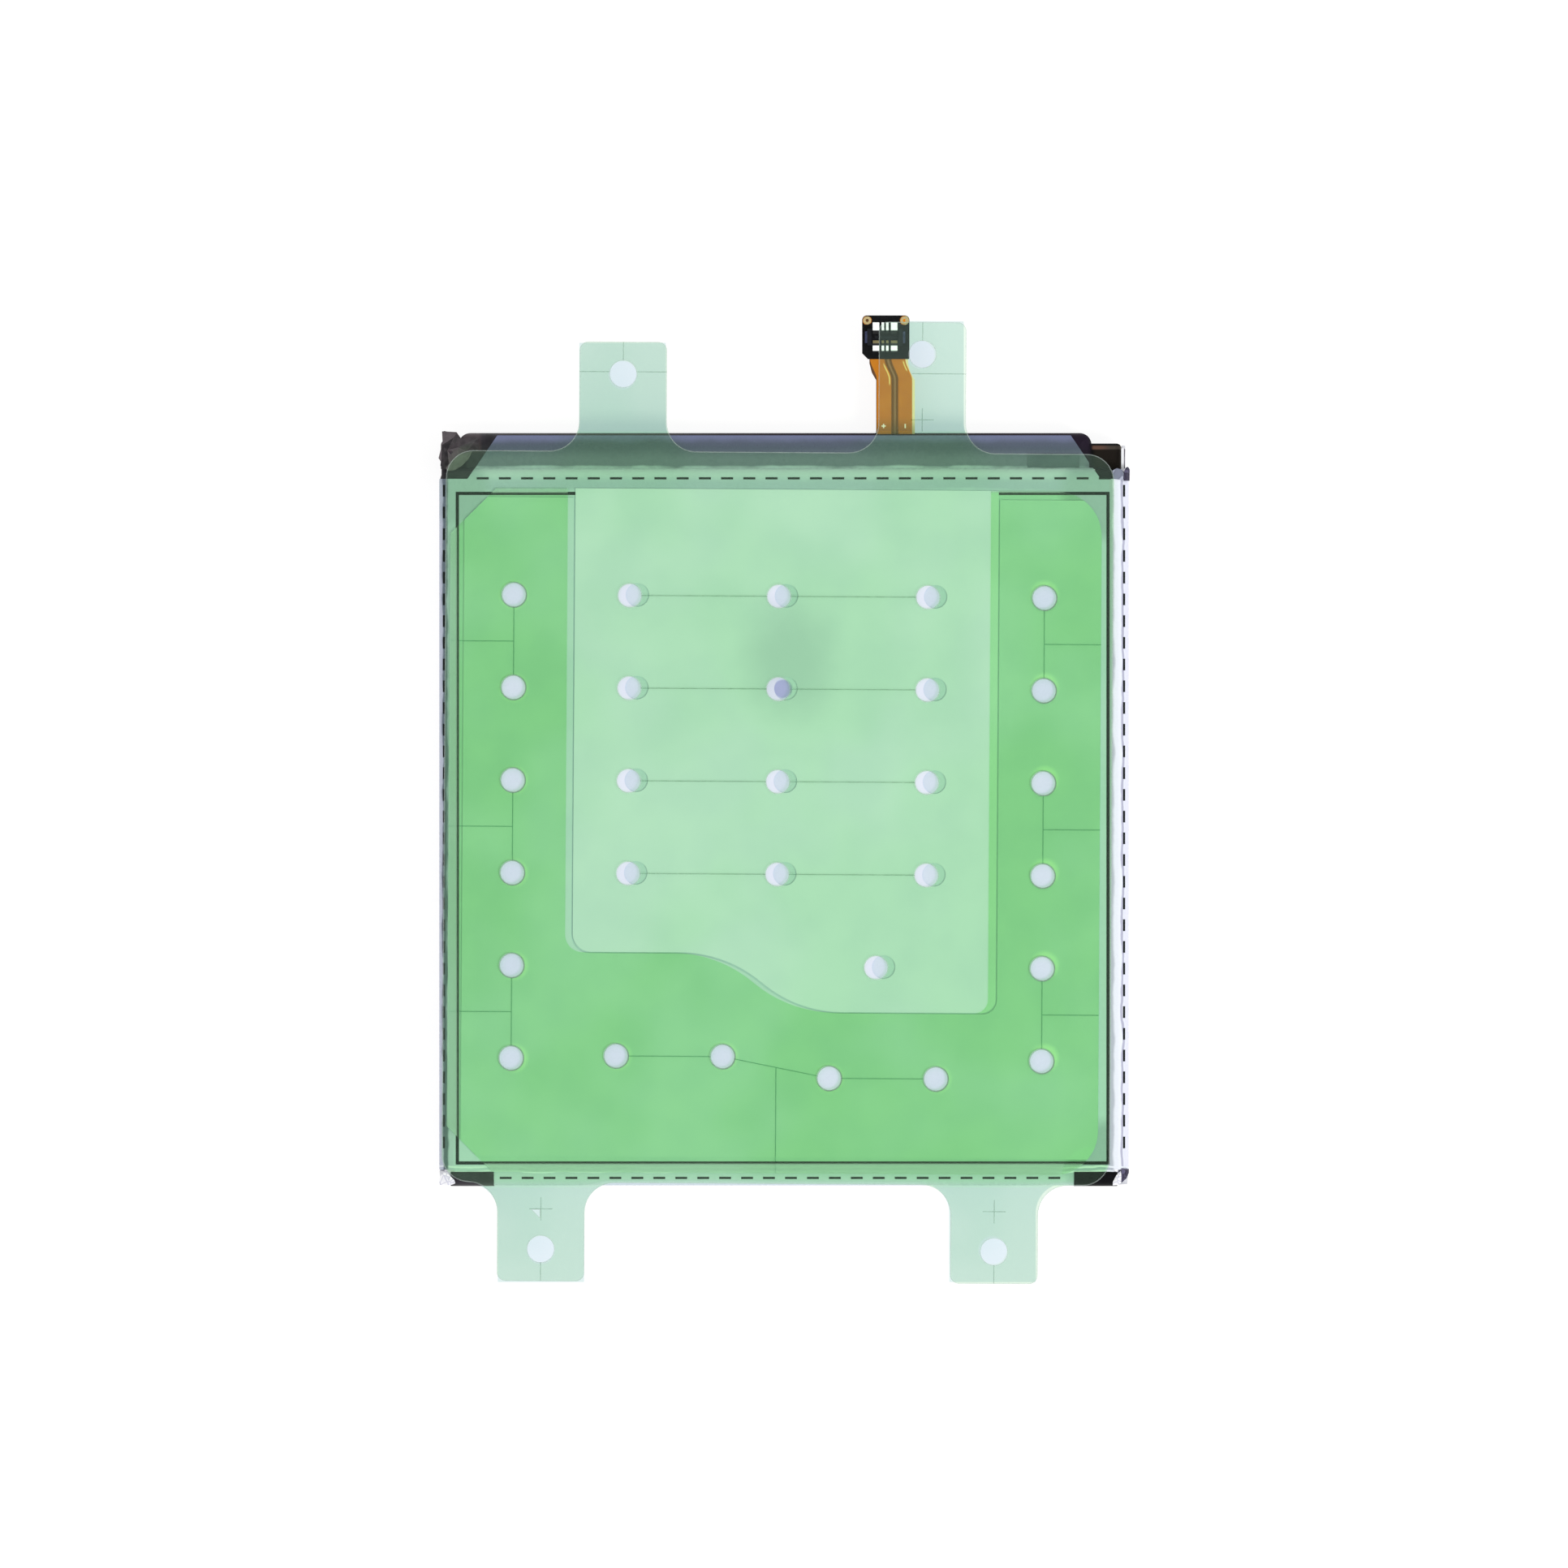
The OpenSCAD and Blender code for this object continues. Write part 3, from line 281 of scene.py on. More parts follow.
def shadowed_floor_colour(tree, tab_shadow, hole_shadow, open_colour, tab_colour, hole_colour):
    """One colour on the open floor, and one each for the painted shadows under the tabs and under their
    holes.
    """
    beside_holes = blend(tree, tab_shadow, (*open_colour, 1), (*tab_colour, 1))
    return blend(tree, hole_shadow, beside_holes, (*hole_colour, 1))


floor_material, tree, place = begin("white_paper_sweep")
rays = add(tree, "ShaderNodeLightPath").outputs
seen = largest(tree, rays["Is Camera Ray"], rays["Is Glossy Ray"], rays["Is Transmission Ray"])
x_place, y_place = axis(tree, place, "X"), axis(tree, place, "Y")
tab_shadow, hole_shadow = 0.0, 0.0
for x, root_y, end_y, jig_y in TABS.values():
    tab_shadow = largest(tree, tab_shadow, tab_shadow_mask(tree, x_place, y_place, x, root_y, end_y))
    hole_shadow = largest(tree, hole_shadow, near(tree, place, (x, jig_y, 0), JIG_R, JIG_SOFT))

# Under the tabs and their jig holes, the seen colour and the own light together make a painted shadow.
seen_colour = shadowed_floor_colour(tree, tab_shadow, hole_shadow, (0.24, 0.22, 0.2), (0.45, 0.42, 0.38), (0.5, 0.45, 0.4))
own_light = shadowed_floor_colour(tree, tab_shadow, hole_shadow,
                      (0.86, 0.87, 0.88), (0.33, 0.47, 0.51), (0.335, 0.455, 0.58))
seen_paper = add(tree, "ShaderNodeBsdfDiffuse", {"Color": seen_colour})
lift = add(tree, "ShaderNodeEmission", {"Color": own_light, "Strength": 1.0})
lit_paper = add(tree, "ShaderNodeAddShader", {0: seen_paper.outputs[0], 1: lift.outputs[0]})
plain_paper = add(tree, "ShaderNodeBsdfDiffuse", {"Color": (0.86, 0.87, 0.9, 1)})
end(tree, add(tree, "ShaderNodeMixShader", {0: seen, 1: plain_paper.outputs[0], 2: lit_paper.outputs[0]}))

floor_mesh = bpy.data.meshes.new("floor")
floor_corners = [(x * FLOOR_HALF, y * FLOOR_HALF, FLOOR_Z) for x, y in ((-1, -1), (1, -1), (1, 1), (-1, 1))]
floor_mesh.from_pydata(floor_corners, [], [(0, 1, 2, 3)])
floor_mesh.materials.append(floor_material)
floor = bpy.data.objects.new("floor", floor_mesh)
bpy.context.scene.collection.objects.link(floor)
print("floor", FLOOR_HALF * 2, "m wide")

# %% [markdown]
# Release liner is a polyester film of a tenth of a millimetre, tinted green so that workers see it. Light
# goes through it twice, down and back up, and each pass takes its share. The solid has a top and a bottom
# face, so each face gets the square root of what one pass takes. Where the pull tabs stick out over nothing,
# the tint is greyer: painted shade for the shadow on the floor under them, and the top right tab has a
# lighter tint, with less of that painted shade. A little milky haze and a clear gloss lie on it, and outside
# the printed frame, where no glue wets the inner liner, the haze is much stronger. At the lower right corner
# glue has crept out, and the haze is weaker again. The floor of each kiss cut in the inner liner has a
# deeper tint, which is painted shade in the groove.

# %% Green release film
CELL_HALF_Y = 35.7
FRAME_LEFT, FRAME_RIGHT, FRAME_TOP, FRAME_BOTTOM = -31.0, 30.75, 30.0, -33.6
FRAME_SOFT = 0.1
TOP_RIGHT_TAB, TOP_RIGHT_TAB_R = (13, 41, 5.2), 6.5
WETTED_CORNER, WETTED_R, WETTED_HAZE = (29.2, -34.9, 5.15), 2.6, 0.6
GROOVE_HALF_DEPTH = 0.01


def outside_frame(tree, place):
    """One outside the printed frame and nought inside it: the largest of four side masks."""
    x_place, y_place = axis(tree, place, "X"), axis(tree, place, "Y")
    return largest(tree,
                   ramp(tree, x_place, FRAME_LEFT + FRAME_SOFT, FRAME_LEFT - FRAME_SOFT),
                   ramp(tree, x_place, FRAME_RIGHT - FRAME_SOFT, FRAME_RIGHT + FRAME_SOFT),
                   ramp(tree, y_place, FRAME_TOP - FRAME_SOFT, FRAME_TOP + FRAME_SOFT),
                   ramp(tree, y_place, FRAME_BOTTOM + FRAME_SOFT, FRAME_BOTTOM - FRAME_SOFT))


def film_tint(tree, place, face_tints, tab_shade_tint, top_right_tab_tint):
    """Two drifting tints over the cell, a greyer tint on the tabs as painted shade, and a lighter one with
    less painted shade on the top right tab. The floor of a kiss cut in the inner liner lies half way down
    it, and its deeper tint is painted shade."""
    face_colour = blend(tree, span(tree, clouds(tree, place, 14, 2.0), 0.35, 0.65), *face_tints)
    on_top_right_tab = near(tree, place, TOP_RIGHT_TAB, TOP_RIGHT_TAB_R, 0.6)
    # The tabs' greyer tint is painted shade for the shadow on the floor under them.
    tab_colour = blend(tree, on_top_right_tab, tab_shade_tint, top_right_tab_tint)
    from_middle = math_node(tree, "ABSOLUTE", axis(tree, place, "Y"))
    on_tab = ramp(tree, from_middle, CELL_HALF_Y - 0.2, CELL_HALF_Y + 0.3)
    inner_low, inner_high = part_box("inner_liner")
    half_way = (inner_low[2] + inner_high[2]) / 2 / MM
    groove_shade = band(tree, axis(tree, place, "Z"),
                     half_way - GROOVE_HALF_DEPTH, half_way + GROOVE_HALF_DEPTH, 0.004)
    # The groove floor's deeper tint is painted shade.
    return blend(tree, groove_shade, blend(tree, on_tab, face_colour, tab_colour), "#c4e4d0")


def release_film(name, face_tints, tab_shade_tint, top_right_tab_tint, haze, haze_share, dry_share):
    """Tinted clear film: mostly Transparent, with a share of gloss and milky haze mixed in. The
    haze share holds inside the printed frame and the dry share outside it."""
    material, tree, place = begin(name)
    tint = film_tint(tree, place, face_tints, tab_shade_tint, top_right_tab_tint)
    clear = add(tree, "ShaderNodeBsdfTransparent", {"Color": tint})
    rolling = clouds(tree, place, 0.5, 2.0, (1, 0.25, 1))
    body = add(tree, "ShaderNodeBsdfPrincipled",
               {"Base Color": linear(haze), "Roughness": 0.16, "IOR": 1.57,
                "Normal": bump(tree, rolling, 0.002, 0.5, True)})
    share = span(tree, outside_frame(tree, place), 0.0, 1.0, haze_share, dry_share)
    wetted = near(tree, place, WETTED_CORNER, WETTED_R, 0.6)
    share = times(tree, share, span(tree, wetted, 0.0, 1.0, 1.0, WETTED_HAZE))
    end(tree, add(tree, "ShaderNodeMixShader", {0: share, 1: clear.outputs[0], 2: body.outputs[0]}))
    return material


inner_film = release_film("inner_release_film_polyester", ("#f4fff2", "#f2feef"),
                          "#f3feef", "#f3feef", "#e4e9f6", 0.022, 0.36)
outer_film = release_film("outer_release_film_polyester", ("#f1fef0", "#eefded"),
                          "#f1f9f2", "#f6fdf7", "#b4cdc3", 0.035, 0.04)
print("films", inner_film.name, outer_film.name)

# %% [markdown]
# The wrap is a milky printed film. It is thin, so it takes the colour of what is under it: pale grey violet
# over the foil of the pouch, and slate where the top flap lies on black tape. Its colour also carries
# painted shade, on the top and left sides, in the folds at both sides and across the band, and painted
# highlights on the right side, where the shoulder rises, along the lower edge and on the band's rounded top
# edge. A darker band on the right slope, a small darker spot and three darker corners are painted too. The
# masks below are built from the battery's own measures, in millimetres, and a little wander in the place
# keeps their sides from being ruled straight.

# %% Milky wrap film
SHOULDER_Y = 32.3
WANDER_MM = 0.6
SHOULDER_HIGHLIGHT_Y = (30.9, 31.9)
RIGHT_SLOPE_X, RIGHT_SLOPE_SOFT = (30.7, 31.25), 0.15
RIGHT_FOLD_X, RIGHT_FOLD_SOFT = (31.98, 32.2), 0.06
RIGHT_WALL_X = (32.2, 32.35)
DULL_CORNERS = ((FRAME_LEFT, FRAME_TOP, 2.2), (FRAME_RIGHT, FRAME_TOP, 3.6),
                (FRAME_RIGHT, FRAME_BOTTOM, 3.2))
LOWER_EDGE_HIGHLIGHTS_Y = (-33.9, -34.3)
DARK_SPOT, DARK_SPOT_R = (-0.1, 11.4, 4.87), 0.75
LEFT_FOLD_IN_X, LEFT_FOLD_OUT_X = (-31.75, -32.0), (-32.25, -32.45)
TAPE_SHADE_Y, TAPE_SHEEN_Y = (33.0, 34.4), (34.6, 35.4)

milky_film, tree, place = begin("milky_wrap_film_polypropylene")
wander = times(tree, math_node(tree, "SUBTRACT", clouds(tree, place, 3.0, 3.0), 0.5), WANDER_MM * MM)
x_place = math_node(tree, "ADD", axis(tree, place, "X"), wander)
y_place = math_node(tree, "ADD", axis(tree, place, "Y"), wander)

skin = mottled(tree, clouds(tree, place, 9, 3.0), "#cfdcea", "#d6e1ee")
# Below the printed frame the colour turns a little greyer.
skin = blend(tree, ramp(tree, y_place, FRAME_BOTTOM, FRAME_BOTTOM - 0.4), skin, "#cddae4")
# Painted shade on the top side, beyond the frame.
skin = blend(tree, ramp(tree, y_place, FRAME_TOP, FRAME_TOP + 0.5), skin, "#bcc5da")
# Painted highlight where the shoulder rises.
skin = blend(tree, ramp(tree, y_place, *SHOULDER_HIGHLIGHT_Y), skin, "#d6deec")
# Painted shade on the left side.
skin = blend(tree, ramp(tree, x_place, FRAME_LEFT, FRAME_LEFT - 0.5), skin, "#c8cee0")
# Painted highlight on the right side.
skin = blend(tree, ramp(tree, x_place, FRAME_RIGHT, FRAME_RIGHT + 0.4), skin, "#eef3fc")
# A darker band on the right slope.
skin = blend(tree, band(tree, x_place, *RIGHT_SLOPE_X, RIGHT_SLOPE_SOFT), skin, "#b9c0ca")
# Painted shade in the fold on the right.
right_fold_shade = times(tree, band(tree, x_place, *RIGHT_FOLD_X, RIGHT_FOLD_SOFT), 0.8)
skin = blend(tree, right_fold_shade, skin, "#a2a2bc")
skin = blend(tree, ramp(tree, x_place, *RIGHT_WALL_X), skin, "#e4e6f6")
# Three corners painted darker, left of the right wall.
left_of_wall = ramp(tree, x_place, FRAME_RIGHT + 0.1, FRAME_RIGHT + 0.2, 1.0, 0.0)
for x, y, reach in DULL_CORNERS:
    dull = times(tree, near(tree, place, (x, y, 4.8), reach, 1.6), left_of_wall)
    skin = blend(tree, dull, skin, "#b4c0cd")
# Painted highlights along the lower edge.
for y in LOWER_EDGE_HIGHLIGHTS_Y:
    skin = blend(tree, band(tree, y_place, y - 0.1, y + 0.06), skin, "#eef4fc")
# A small darker spot.
skin = blend(tree, near(tree, place, DARK_SPOT, DARK_SPOT_R, 0.25), skin, "#a6aed2")
# Painted shade in the fold on the left.
left_fold = times(tree, ramp(tree, x_place, *LEFT_FOLD_IN_X),
                  ramp(tree, x_place, *LEFT_FOLD_OUT_X, 1.0, 0.0))
skin = blend(tree, left_fold, skin, "#66727f")

# Over the tape the film is slate; it darkens across the band as painted shade, and a painted highlight lies
# on the band's rounded top edge.
over_tape = blend(tree, ramp(tree, y_place, *TAPE_SHADE_Y), "#73798a", "#565f70")
over_tape = blend(tree, ramp(tree, y_place, *TAPE_SHEEN_Y), over_tape, "#747b9c")
skin = blend(tree, ramp(tree, y_place, SHOULDER_Y, SHOULDER_Y + 0.35), skin, over_tape)
grain = clouds(tree, place, 0.7, 2.0)
creases = clouds(tree, place, 2.2, 2.0, (1, 0.4, 1))
coat(tree, {"Base Color": skin, "Roughness": span(tree, grain, *CLOUD_RANGE, 0.22, 0.34),
            "Specular IOR Level": 0.3, "Normal": bump(tree, creases, 0.03, 0.35)})
print("wrap", milky_film.name)

# %% [markdown]
# The flex tail is polyimide film laminated over copper. Through the amber film the two wide copper lanes
# look orange, and the gap between them is brown with one thin bright trace in it. A dark line of painted
# shadow runs along the left edge, a pale gold line along the right edge, and two painted glints lie near the
# jog. All of these follow the jog, so the shader first takes the jog away from the X place. Near the band
# the film lies in shadow. One lane is marked with a plus and the other with a minus.

# %% Amber flex film
FLEX_X, JOG_LOW, JOG_HIGH, JOG_SHIFT = 10.58, 40.7, 42.7, 0.64
GAP_X, TRACE_X, STRIPE_SOFT = (-0.4, 0.28), (-0.15, 0.04), 0.05
PALE_EDGE_X, SHADOW_EDGE_X = (1.58, 2.2), (-2.2, -1.76)
RIGHT_GLINT_X, RIGHT_GLINT_Y = (1.3, 1.42), (41.6, 42.5)
LEFT_GLINT_X, LEFT_GLINT_Y = (-0.62, -0.5), (40.3, 42.2)
SHADOW_Y = (37.4, 35.8)
SIGN_Y, PLUS_X, MINUS_X = 36.35, 9.45, 11.5
BAR_HALF_L, BAR_HALF_W, SIGN_SOFT = 0.2, 0.06, 0.02
SIGN_BARS = ((PLUS_X, BAR_HALF_L, BAR_HALF_W), (PLUS_X, BAR_HALF_W, BAR_HALF_L),
             (MINUS_X, BAR_HALF_W, BAR_HALF_L))
PAD_PLACES_X, PAD_Y, PAD_R = (7.9, 11.43), 46.37, 0.6


def sign_mask(tree, x_place, y_place):
    """One on the bars of the two signs. They are printed across the tail, so the minus is upright."""
    signs = 0.0
    for x, half_w, half_h in SIGN_BARS:
        bar_x = band(tree, x_place, x - half_w, x + half_w, SIGN_SOFT)
        bar_y = band(tree, y_place, SIGN_Y - half_h, SIGN_Y + half_h, SIGN_SOFT)
        signs = largest(tree, signs, times(tree, bar_x, bar_y))
    return signs


def flex_film(name, low, high):
    """Amber film with a brown gap, a bright trace, two edges and two signs, all along the jog."""
    material, tree, place = begin(name)
    x_place, y_place = axis(tree, place, "X"), axis(tree, place, "Y")
    jog = ramp(tree, y_place, JOG_LOW, JOG_HIGH, FLEX_X * MM, (FLEX_X - JOG_SHIFT) * MM)
    across = math_node(tree, "SUBTRACT", x_place, jog)
    colour = mottled(tree, clouds(tree, place, 1.4), low, high)
    colour = blend(tree, band(tree, across, *GAP_X, STRIPE_SOFT), colour, "#7c4f14")
    colour = blend(tree, band(tree, across, *TRACE_X, STRIPE_SOFT), colour, "#a2794a")
    colour = blend(tree, band(tree, across, *PALE_EDGE_X), colour, "#fff0b4")
    # Painted shadow along the left edge.
    colour = blend(tree, band(tree, across, *SHADOW_EDGE_X), colour, "#6d4a30")
    # Painted glints near the jog.
    right = times(tree, band(tree, across, *RIGHT_GLINT_X), band(tree, y_place, *RIGHT_GLINT_Y, 0.1))
    left = times(tree, band(tree, across, *LEFT_GLINT_X), band(tree, y_place, *LEFT_GLINT_Y, 0.2))
    colour = blend(tree, largest(tree, left, right), colour, "#ffdf7c")
    colour = blend(tree, ramp(tree, y_place, *SHADOW_Y, 0.0, 0.5), colour, "#5a4416")
    colour = blend(tree, sign_mask(tree, x_place, y_place), colour, "#fff6d8")
    for x in PAD_PLACES_X:
        colour = blend(tree, near(tree, place, (x, PAD_Y, 4.0), PAD_R, 0.1), colour, "#e8d2a2")
    coat(tree, {"Base Color": colour, "Roughness": 0.27, "Specular IOR Level": 0.2,
                "Normal": bump(tree, clouds(tree, place, 2.5), 0.01, 0.4)})
    return material


bare_polyimide = flex_film("amber_polyimide_film", "#f28c04", "#f89408")
covered_lane = flex_film("copper_under_amber_film", "#cf7a1a", "#d6821e")
print("flex films", bare_polyimide.name, covered_lane.name)

# %% [markdown]
# The contacts of the board-to-board plug are stamped, bent and plated. Where a bend faces
# the sky it glints white, a little lower the gold shows, and the rest stands in the shadow
# of the housing. The masks run along Y, the direction in which the contacts are bent.

# %% Bent contacts
UPPER_GLINT_Y, LOWER_GLINT_Y, GOLD_Y = (45.42, 46.3), (43.5, 43.95), (44.22, 44.56)
BEND_SOFT = 0.06

bent_contact, tree, place = begin("gold_plated_copper_alloy")
y_place = axis(tree, place, "Y")
glints = largest(tree, band(tree, y_place, *UPPER_GLINT_Y, BEND_SOFT),
                 band(tree, y_place, *LOWER_GLINT_Y, BEND_SOFT))
colour = blend(tree, band(tree, y_place, *GOLD_Y, BEND_SOFT), "#16171b", "#d8c48c")
colour = blend(tree, glints, colour, "#ffffff")
coat(tree, {"Base Color": colour, "Roughness": 0.3, "Emission Color": (1, 1, 1, 1),
            "Emission Strength": times(tree, glints, 0.35),
            "Normal": bump(tree, clouds(tree, place, 0.12), 0.006, 0.4)})
print("contacts", bent_contact.name)

# %% [markdown]
# The white adhesive patch has a smudge where it was handled. Its mask is the distance from
# the smudge's middle, with the Y way counted a fifth shorter and clouds added to it, so it
# is an oval with an uneven side. The clear adhesive has lifted a little round each of its
# holes, which makes a soft pale ring there.

# %% Adhesives
SMUDGE_X, SMUDGE_Y, SMUDGE_REACH = 0.5, 14, (2.6, 7.4)
SMUDGE_SHAPE = (1.0, 0.8, 0.0)
SIDE_HOLE_X, SIDE_HOLE_TOP_Y, SIDE_HOLE_STEP, SIDE_HOLES = (-25.7, 24.6), 20.3, -8.78, 6
LOW_HOLE_PLACES = ((-15.9, -23.4), (-5.8, -23.4), (4.2, -25.5), (14.4, -25.6))
HOLE_R, RING_SHIFT, RING_W = 1.0, 0.1, 0.7

white_adhesive, tree, place = begin("white_double_sided_tape")
wear_and_shade = clouds(tree, place, 3.5, 3.0)
from_middle = add(tree, "ShaderNodeVectorMath", {0: place, 1: (-SMUDGE_X * MM, -SMUDGE_Y * MM, 0)},
                  operation="ADD").outputs[0]
oval = add(tree, "ShaderNodeVectorMath", {0: from_middle, 1: SMUDGE_SHAPE}, operation="MULTIPLY").outputs[0]
distance = add(tree, "ShaderNodeVectorMath", {0: oval}, operation="LENGTH").outputs[1]
distance = math_node(tree, "ADD", distance, times(tree, wear_and_shade, 2.5 * MM))
colour = mottled(tree, clouds(tree, place, 6), "#e1e6f6", "#e8ecfa")
colour = blend(tree, ramp(tree, distance, *SMUDGE_REACH, 0.9, 0.0), colour, "#cfd6e6")
coat(tree, {"Base Color": colour, "Roughness": 0.5, "Normal": bump(tree, wear_and_shade, 0.01, 0.5, True)})

clear_adhesive, tree, place = begin("clear_double_sided_tape")
side_holes = [(x, SIDE_HOLE_TOP_Y + SIDE_HOLE_STEP * i) for x in SIDE_HOLE_X for i in range(SIDE_HOLES)]
lifted = 0.0
for x, y in side_holes + list(LOW_HOLE_PLACES):
    ring = near(tree, place, (x + RING_SHIFT, y, 4.96), HOLE_R - 0.1, RING_W)
    lifted = largest(tree, lifted, ring)
patchy = clouds(tree, place, 5, 3.0)
colour = blend(tree, lifted, mottled(tree, patchy, "#d2ddec", "#dae3f0"), "#ffffff")
coat(tree, {"Base Color": colour, "Roughness": 0.35, "Normal": bump(tree, patchy, 0.01, 0.5, True)})
print("adhesives", white_adhesive.name, clear_adhesive.name)

# %% [markdown]
# The black tape is a thin acetate film. On the left it is stretched, crumpled and a little
# grey, with a brown cast at its upper corner. On the right it lies flat and stays nearly
# black, and its lid at the box shows a brown edge.

# %% Black tape
GREY_TO_BLACK_X = (-20, 5)
BROWN_X, BROWN_Y = (-29.1, -28.5), (33.6, 34.2)
FLAT_BAND_X, FLAT_BAND_Y = (28.8, 29.3), (31, 32)
LID_X, LID_Y, LID_COLOUR_X = (29.1, 29.4), (34.12, 34.48), (29.8, 31.2)
BOX_X, BOX_Y = (29.2, 29.6), (32.3, 34.1)

black_tape, tree, place = begin("black_acetate_film_tape")
stretched = clouds(tree, place, 1.1, 3.0)
x_place, y_place = axis(tree, place, "X"), axis(tree, place, "Y")
brown = times(tree, ramp(tree, x_place, *BROWN_X, 1.0, 0.0), ramp(tree, y_place, *BROWN_Y))
greyish = blend(tree, brown, mottled(tree, stretched, "#1b191f", "#2e2a32"), "#4c4246")
flat_band = times(tree, ramp(tree, x_place, *FLAT_BAND_X, 1.0, 0.0), ramp(tree, y_place, *FLAT_BAND_Y))
box_side = times(tree, ramp(tree, x_place, *BOX_X), band(tree, y_place, *BOX_Y, 0.1))
lid = times(tree, ramp(tree, x_place, *LID_X), band(tree, y_place, *LID_Y, 0.08))
deep = mottled(tree, stretched, "#08080a", "#111114")
deep = blend(tree, flat_band, deep, "#241c2a")
deep = blend(tree, box_side, deep, "#1f1a16")
deep = blend(tree, lid, deep, blend(tree, ramp(tree, x_place, *LID_COLOUR_X), "#64493f", "#47403a"))
to_black = ramp(tree, x_place, *GREY_TO_BLACK_X)
coat(tree, {"Base Color": blend(tree, to_black, greyish, deep), "Roughness": 0.4,
            "Specular IOR Level": span(tree, to_black, 0.0, 1.0, 0.25, 0.06),
            "Normal": bump(tree, stretched, 0.06, 0.6)})
print("tape", black_tape.name)

# %% [markdown]
# Plain moulded, pressed and printed surfaces share one recipe: two close colours in clouds
# of a real size, a roughness, and a bump of a real depth. Metals use the same recipe with
# Metallic at one and their pattern drawn out along the rolling direction.

# %% Surfaces with two close colours
ROLLED = (1, 0.1, 1)


def plain(name, low, high, size_mm, roughness, depth_mm,
          metallic=0.0, stretch=(1, 1, 1), flat=False, shine=0.5):
    """Two close colours in clouds, with roughness and bump from the same pattern."""
    material, tree, place = begin(name)
    pattern = clouds(tree, place, size_mm, 4.0, stretch)
    coat(tree, {"Base Color": mottled(tree, pattern, low, high),
                "Roughness": span(tree, pattern, *CLOUD_RANGE, roughness - 0.05, roughness + 0.05),
                "Metallic": metallic, "Specular IOR Level": shine,
                "Normal": bump(tree, pattern, depth_mm, 0.6, flat)})
    return material


finishes = {
    "milky_film": milky_film,
    "pouch_laminate": plain("drawn_aluminium_laminate", "#d3d5de", "#f1f2f8", 1.6, 0.3, 0.05, 0.75),
    "lead_aluminium": plain("rolled_aluminium", "#d4d6da", "#e4e6ea", 0.5, 0.3, 0.01, 1.0, ROLLED),
    "lead_nickel": plain("rolled_nickel", "#b9b4aa", "#cfcabf", 0.5, 0.28, 0.01, 1.0, ROLLED),
    "sealant_film": plain("sealed_polypropylene", "#e6dfc8", "#f0ead6", 0.8, 0.4, 0.02),
    "insulating_paper": plain("pressed_fish_paper", "#c6a865", "#d2b676", 0.3, 0.8, 0.02),
    "solder_mask": plain("solder_mask_on_glass_resin", "#12402a", "#1a5236", 0.9, 0.25, 0.02),
    "chip_resin": plain("moulded_epoxy_resin", "#1d1d20", "#28282c", 0.12, 0.55, 0.005),
    "chip_ceramic": plain("fired_barium_ceramic", "#9a7d58", "#b0926c", 0.1, 0.5, 0.005),
    "black_tape": black_tape,
    "slate_patch": plain("black_patch_under_milky_film", "#565e6b", "#626b78", 0.9, 0.4, 0.02, shine=0.2),
    "printing_ink": plain("screen_printing_ink", "#050d0a", "#101c18", 0.35, 0.5, 0.004,
                          flat=True, shine=0.15),
    "white_adhesive": white_adhesive,
    "clear_adhesive": clear_adhesive,
    "polyimide": bare_polyimide,
    "covered_copper": covered_lane,
    "black_cover": plain("black_polyimide_cover_film", "#0b0b0d", "#131316", 0.3, 0.4, 0.006, shine=0.1),
    "stiffener_plate": plain("rolled_stainless_steel", "#8a8c92", "#a0a2a8", 0.3, 0.35, 0.01, 1.0, ROLLED),
    "gilded_copper": plain("electroless_gold_on_copper", "#cdb37c", "#dcc794", 0.15, 0.35, 0.006, 0.5),
    "liquid_crystal_polymer": plain("moulded_liquid_crystal_polymer", "#0e0f15", "#171922", 0.1, 0.42, 0.004,
                                    shine=0.2),
    "contact_alloy": bent_contact,
    # The clips' dark violet blue is a painted reflection.
    "clip_steel": plain("tinned_steel_clip_painted_reflection", "#3c4260", "#5a6182", 0.15, 0.32, 0.006, 0.8),
}
print("finishes", len(finishes))

# %% [markdown]
# Each CAD node's material comes from its slot in the record. The two liners share a slot
# but not a tint, and the small patch on the band lies under milky film, so these are set by
# name.

# %% Finish every CAD node
slot_of = {part["node"]: part["material_slot"] for part in frame["record"]["subparts"]}
by_name = {"inner_liner": inner_film, "release_liner": outer_film,
           "insulating_patch": finishes["slate_patch"]}
for name, node in nodes.items():
    finish = by_name.get(name) or finishes[slot_of[name]]
    node.data.materials.clear()
    node.data.materials.append(finish)
print("finished", len(nodes), "nodes")

# %% [markdown]
# The pieces that Blender adds are made by the same few steps. A mesh gives its corners as rows of x, y and
# z. A piece gets its finish and joins the battery's one body. A bare sheet is closed by a Solidify skin.

# %% Piece helpers
def corners_of(mesh):
    """The corners of a mesh, one row of x, y and z for each, in metres."""
    points = np.zeros(len(mesh.vertices) * 3)
    mesh.vertices.foreach_get("co", points)
    return points.reshape(-1, 3)


def new_piece(name, mesh, material):
    """Puts a mesh with its finish in the scene, on the battery's body."""
    mesh.materials.clear()
    mesh.materials.append(material)
    piece = bpy.data.objects.new(name, mesh)
    bpy.context.scene.collection.objects.link(piece)
    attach(piece, "root")
    return piece


def close_sheet(piece, thickness_mm, offset):
    """Gives a sheet its thickness, outwards with an offset of 1 and inwards with -1."""
    skin = piece.modifiers.new("skin", "SOLIDIFY")
    skin.thickness = thickness_mm * MM
    skin.offset = offset


print("piece helpers ready")

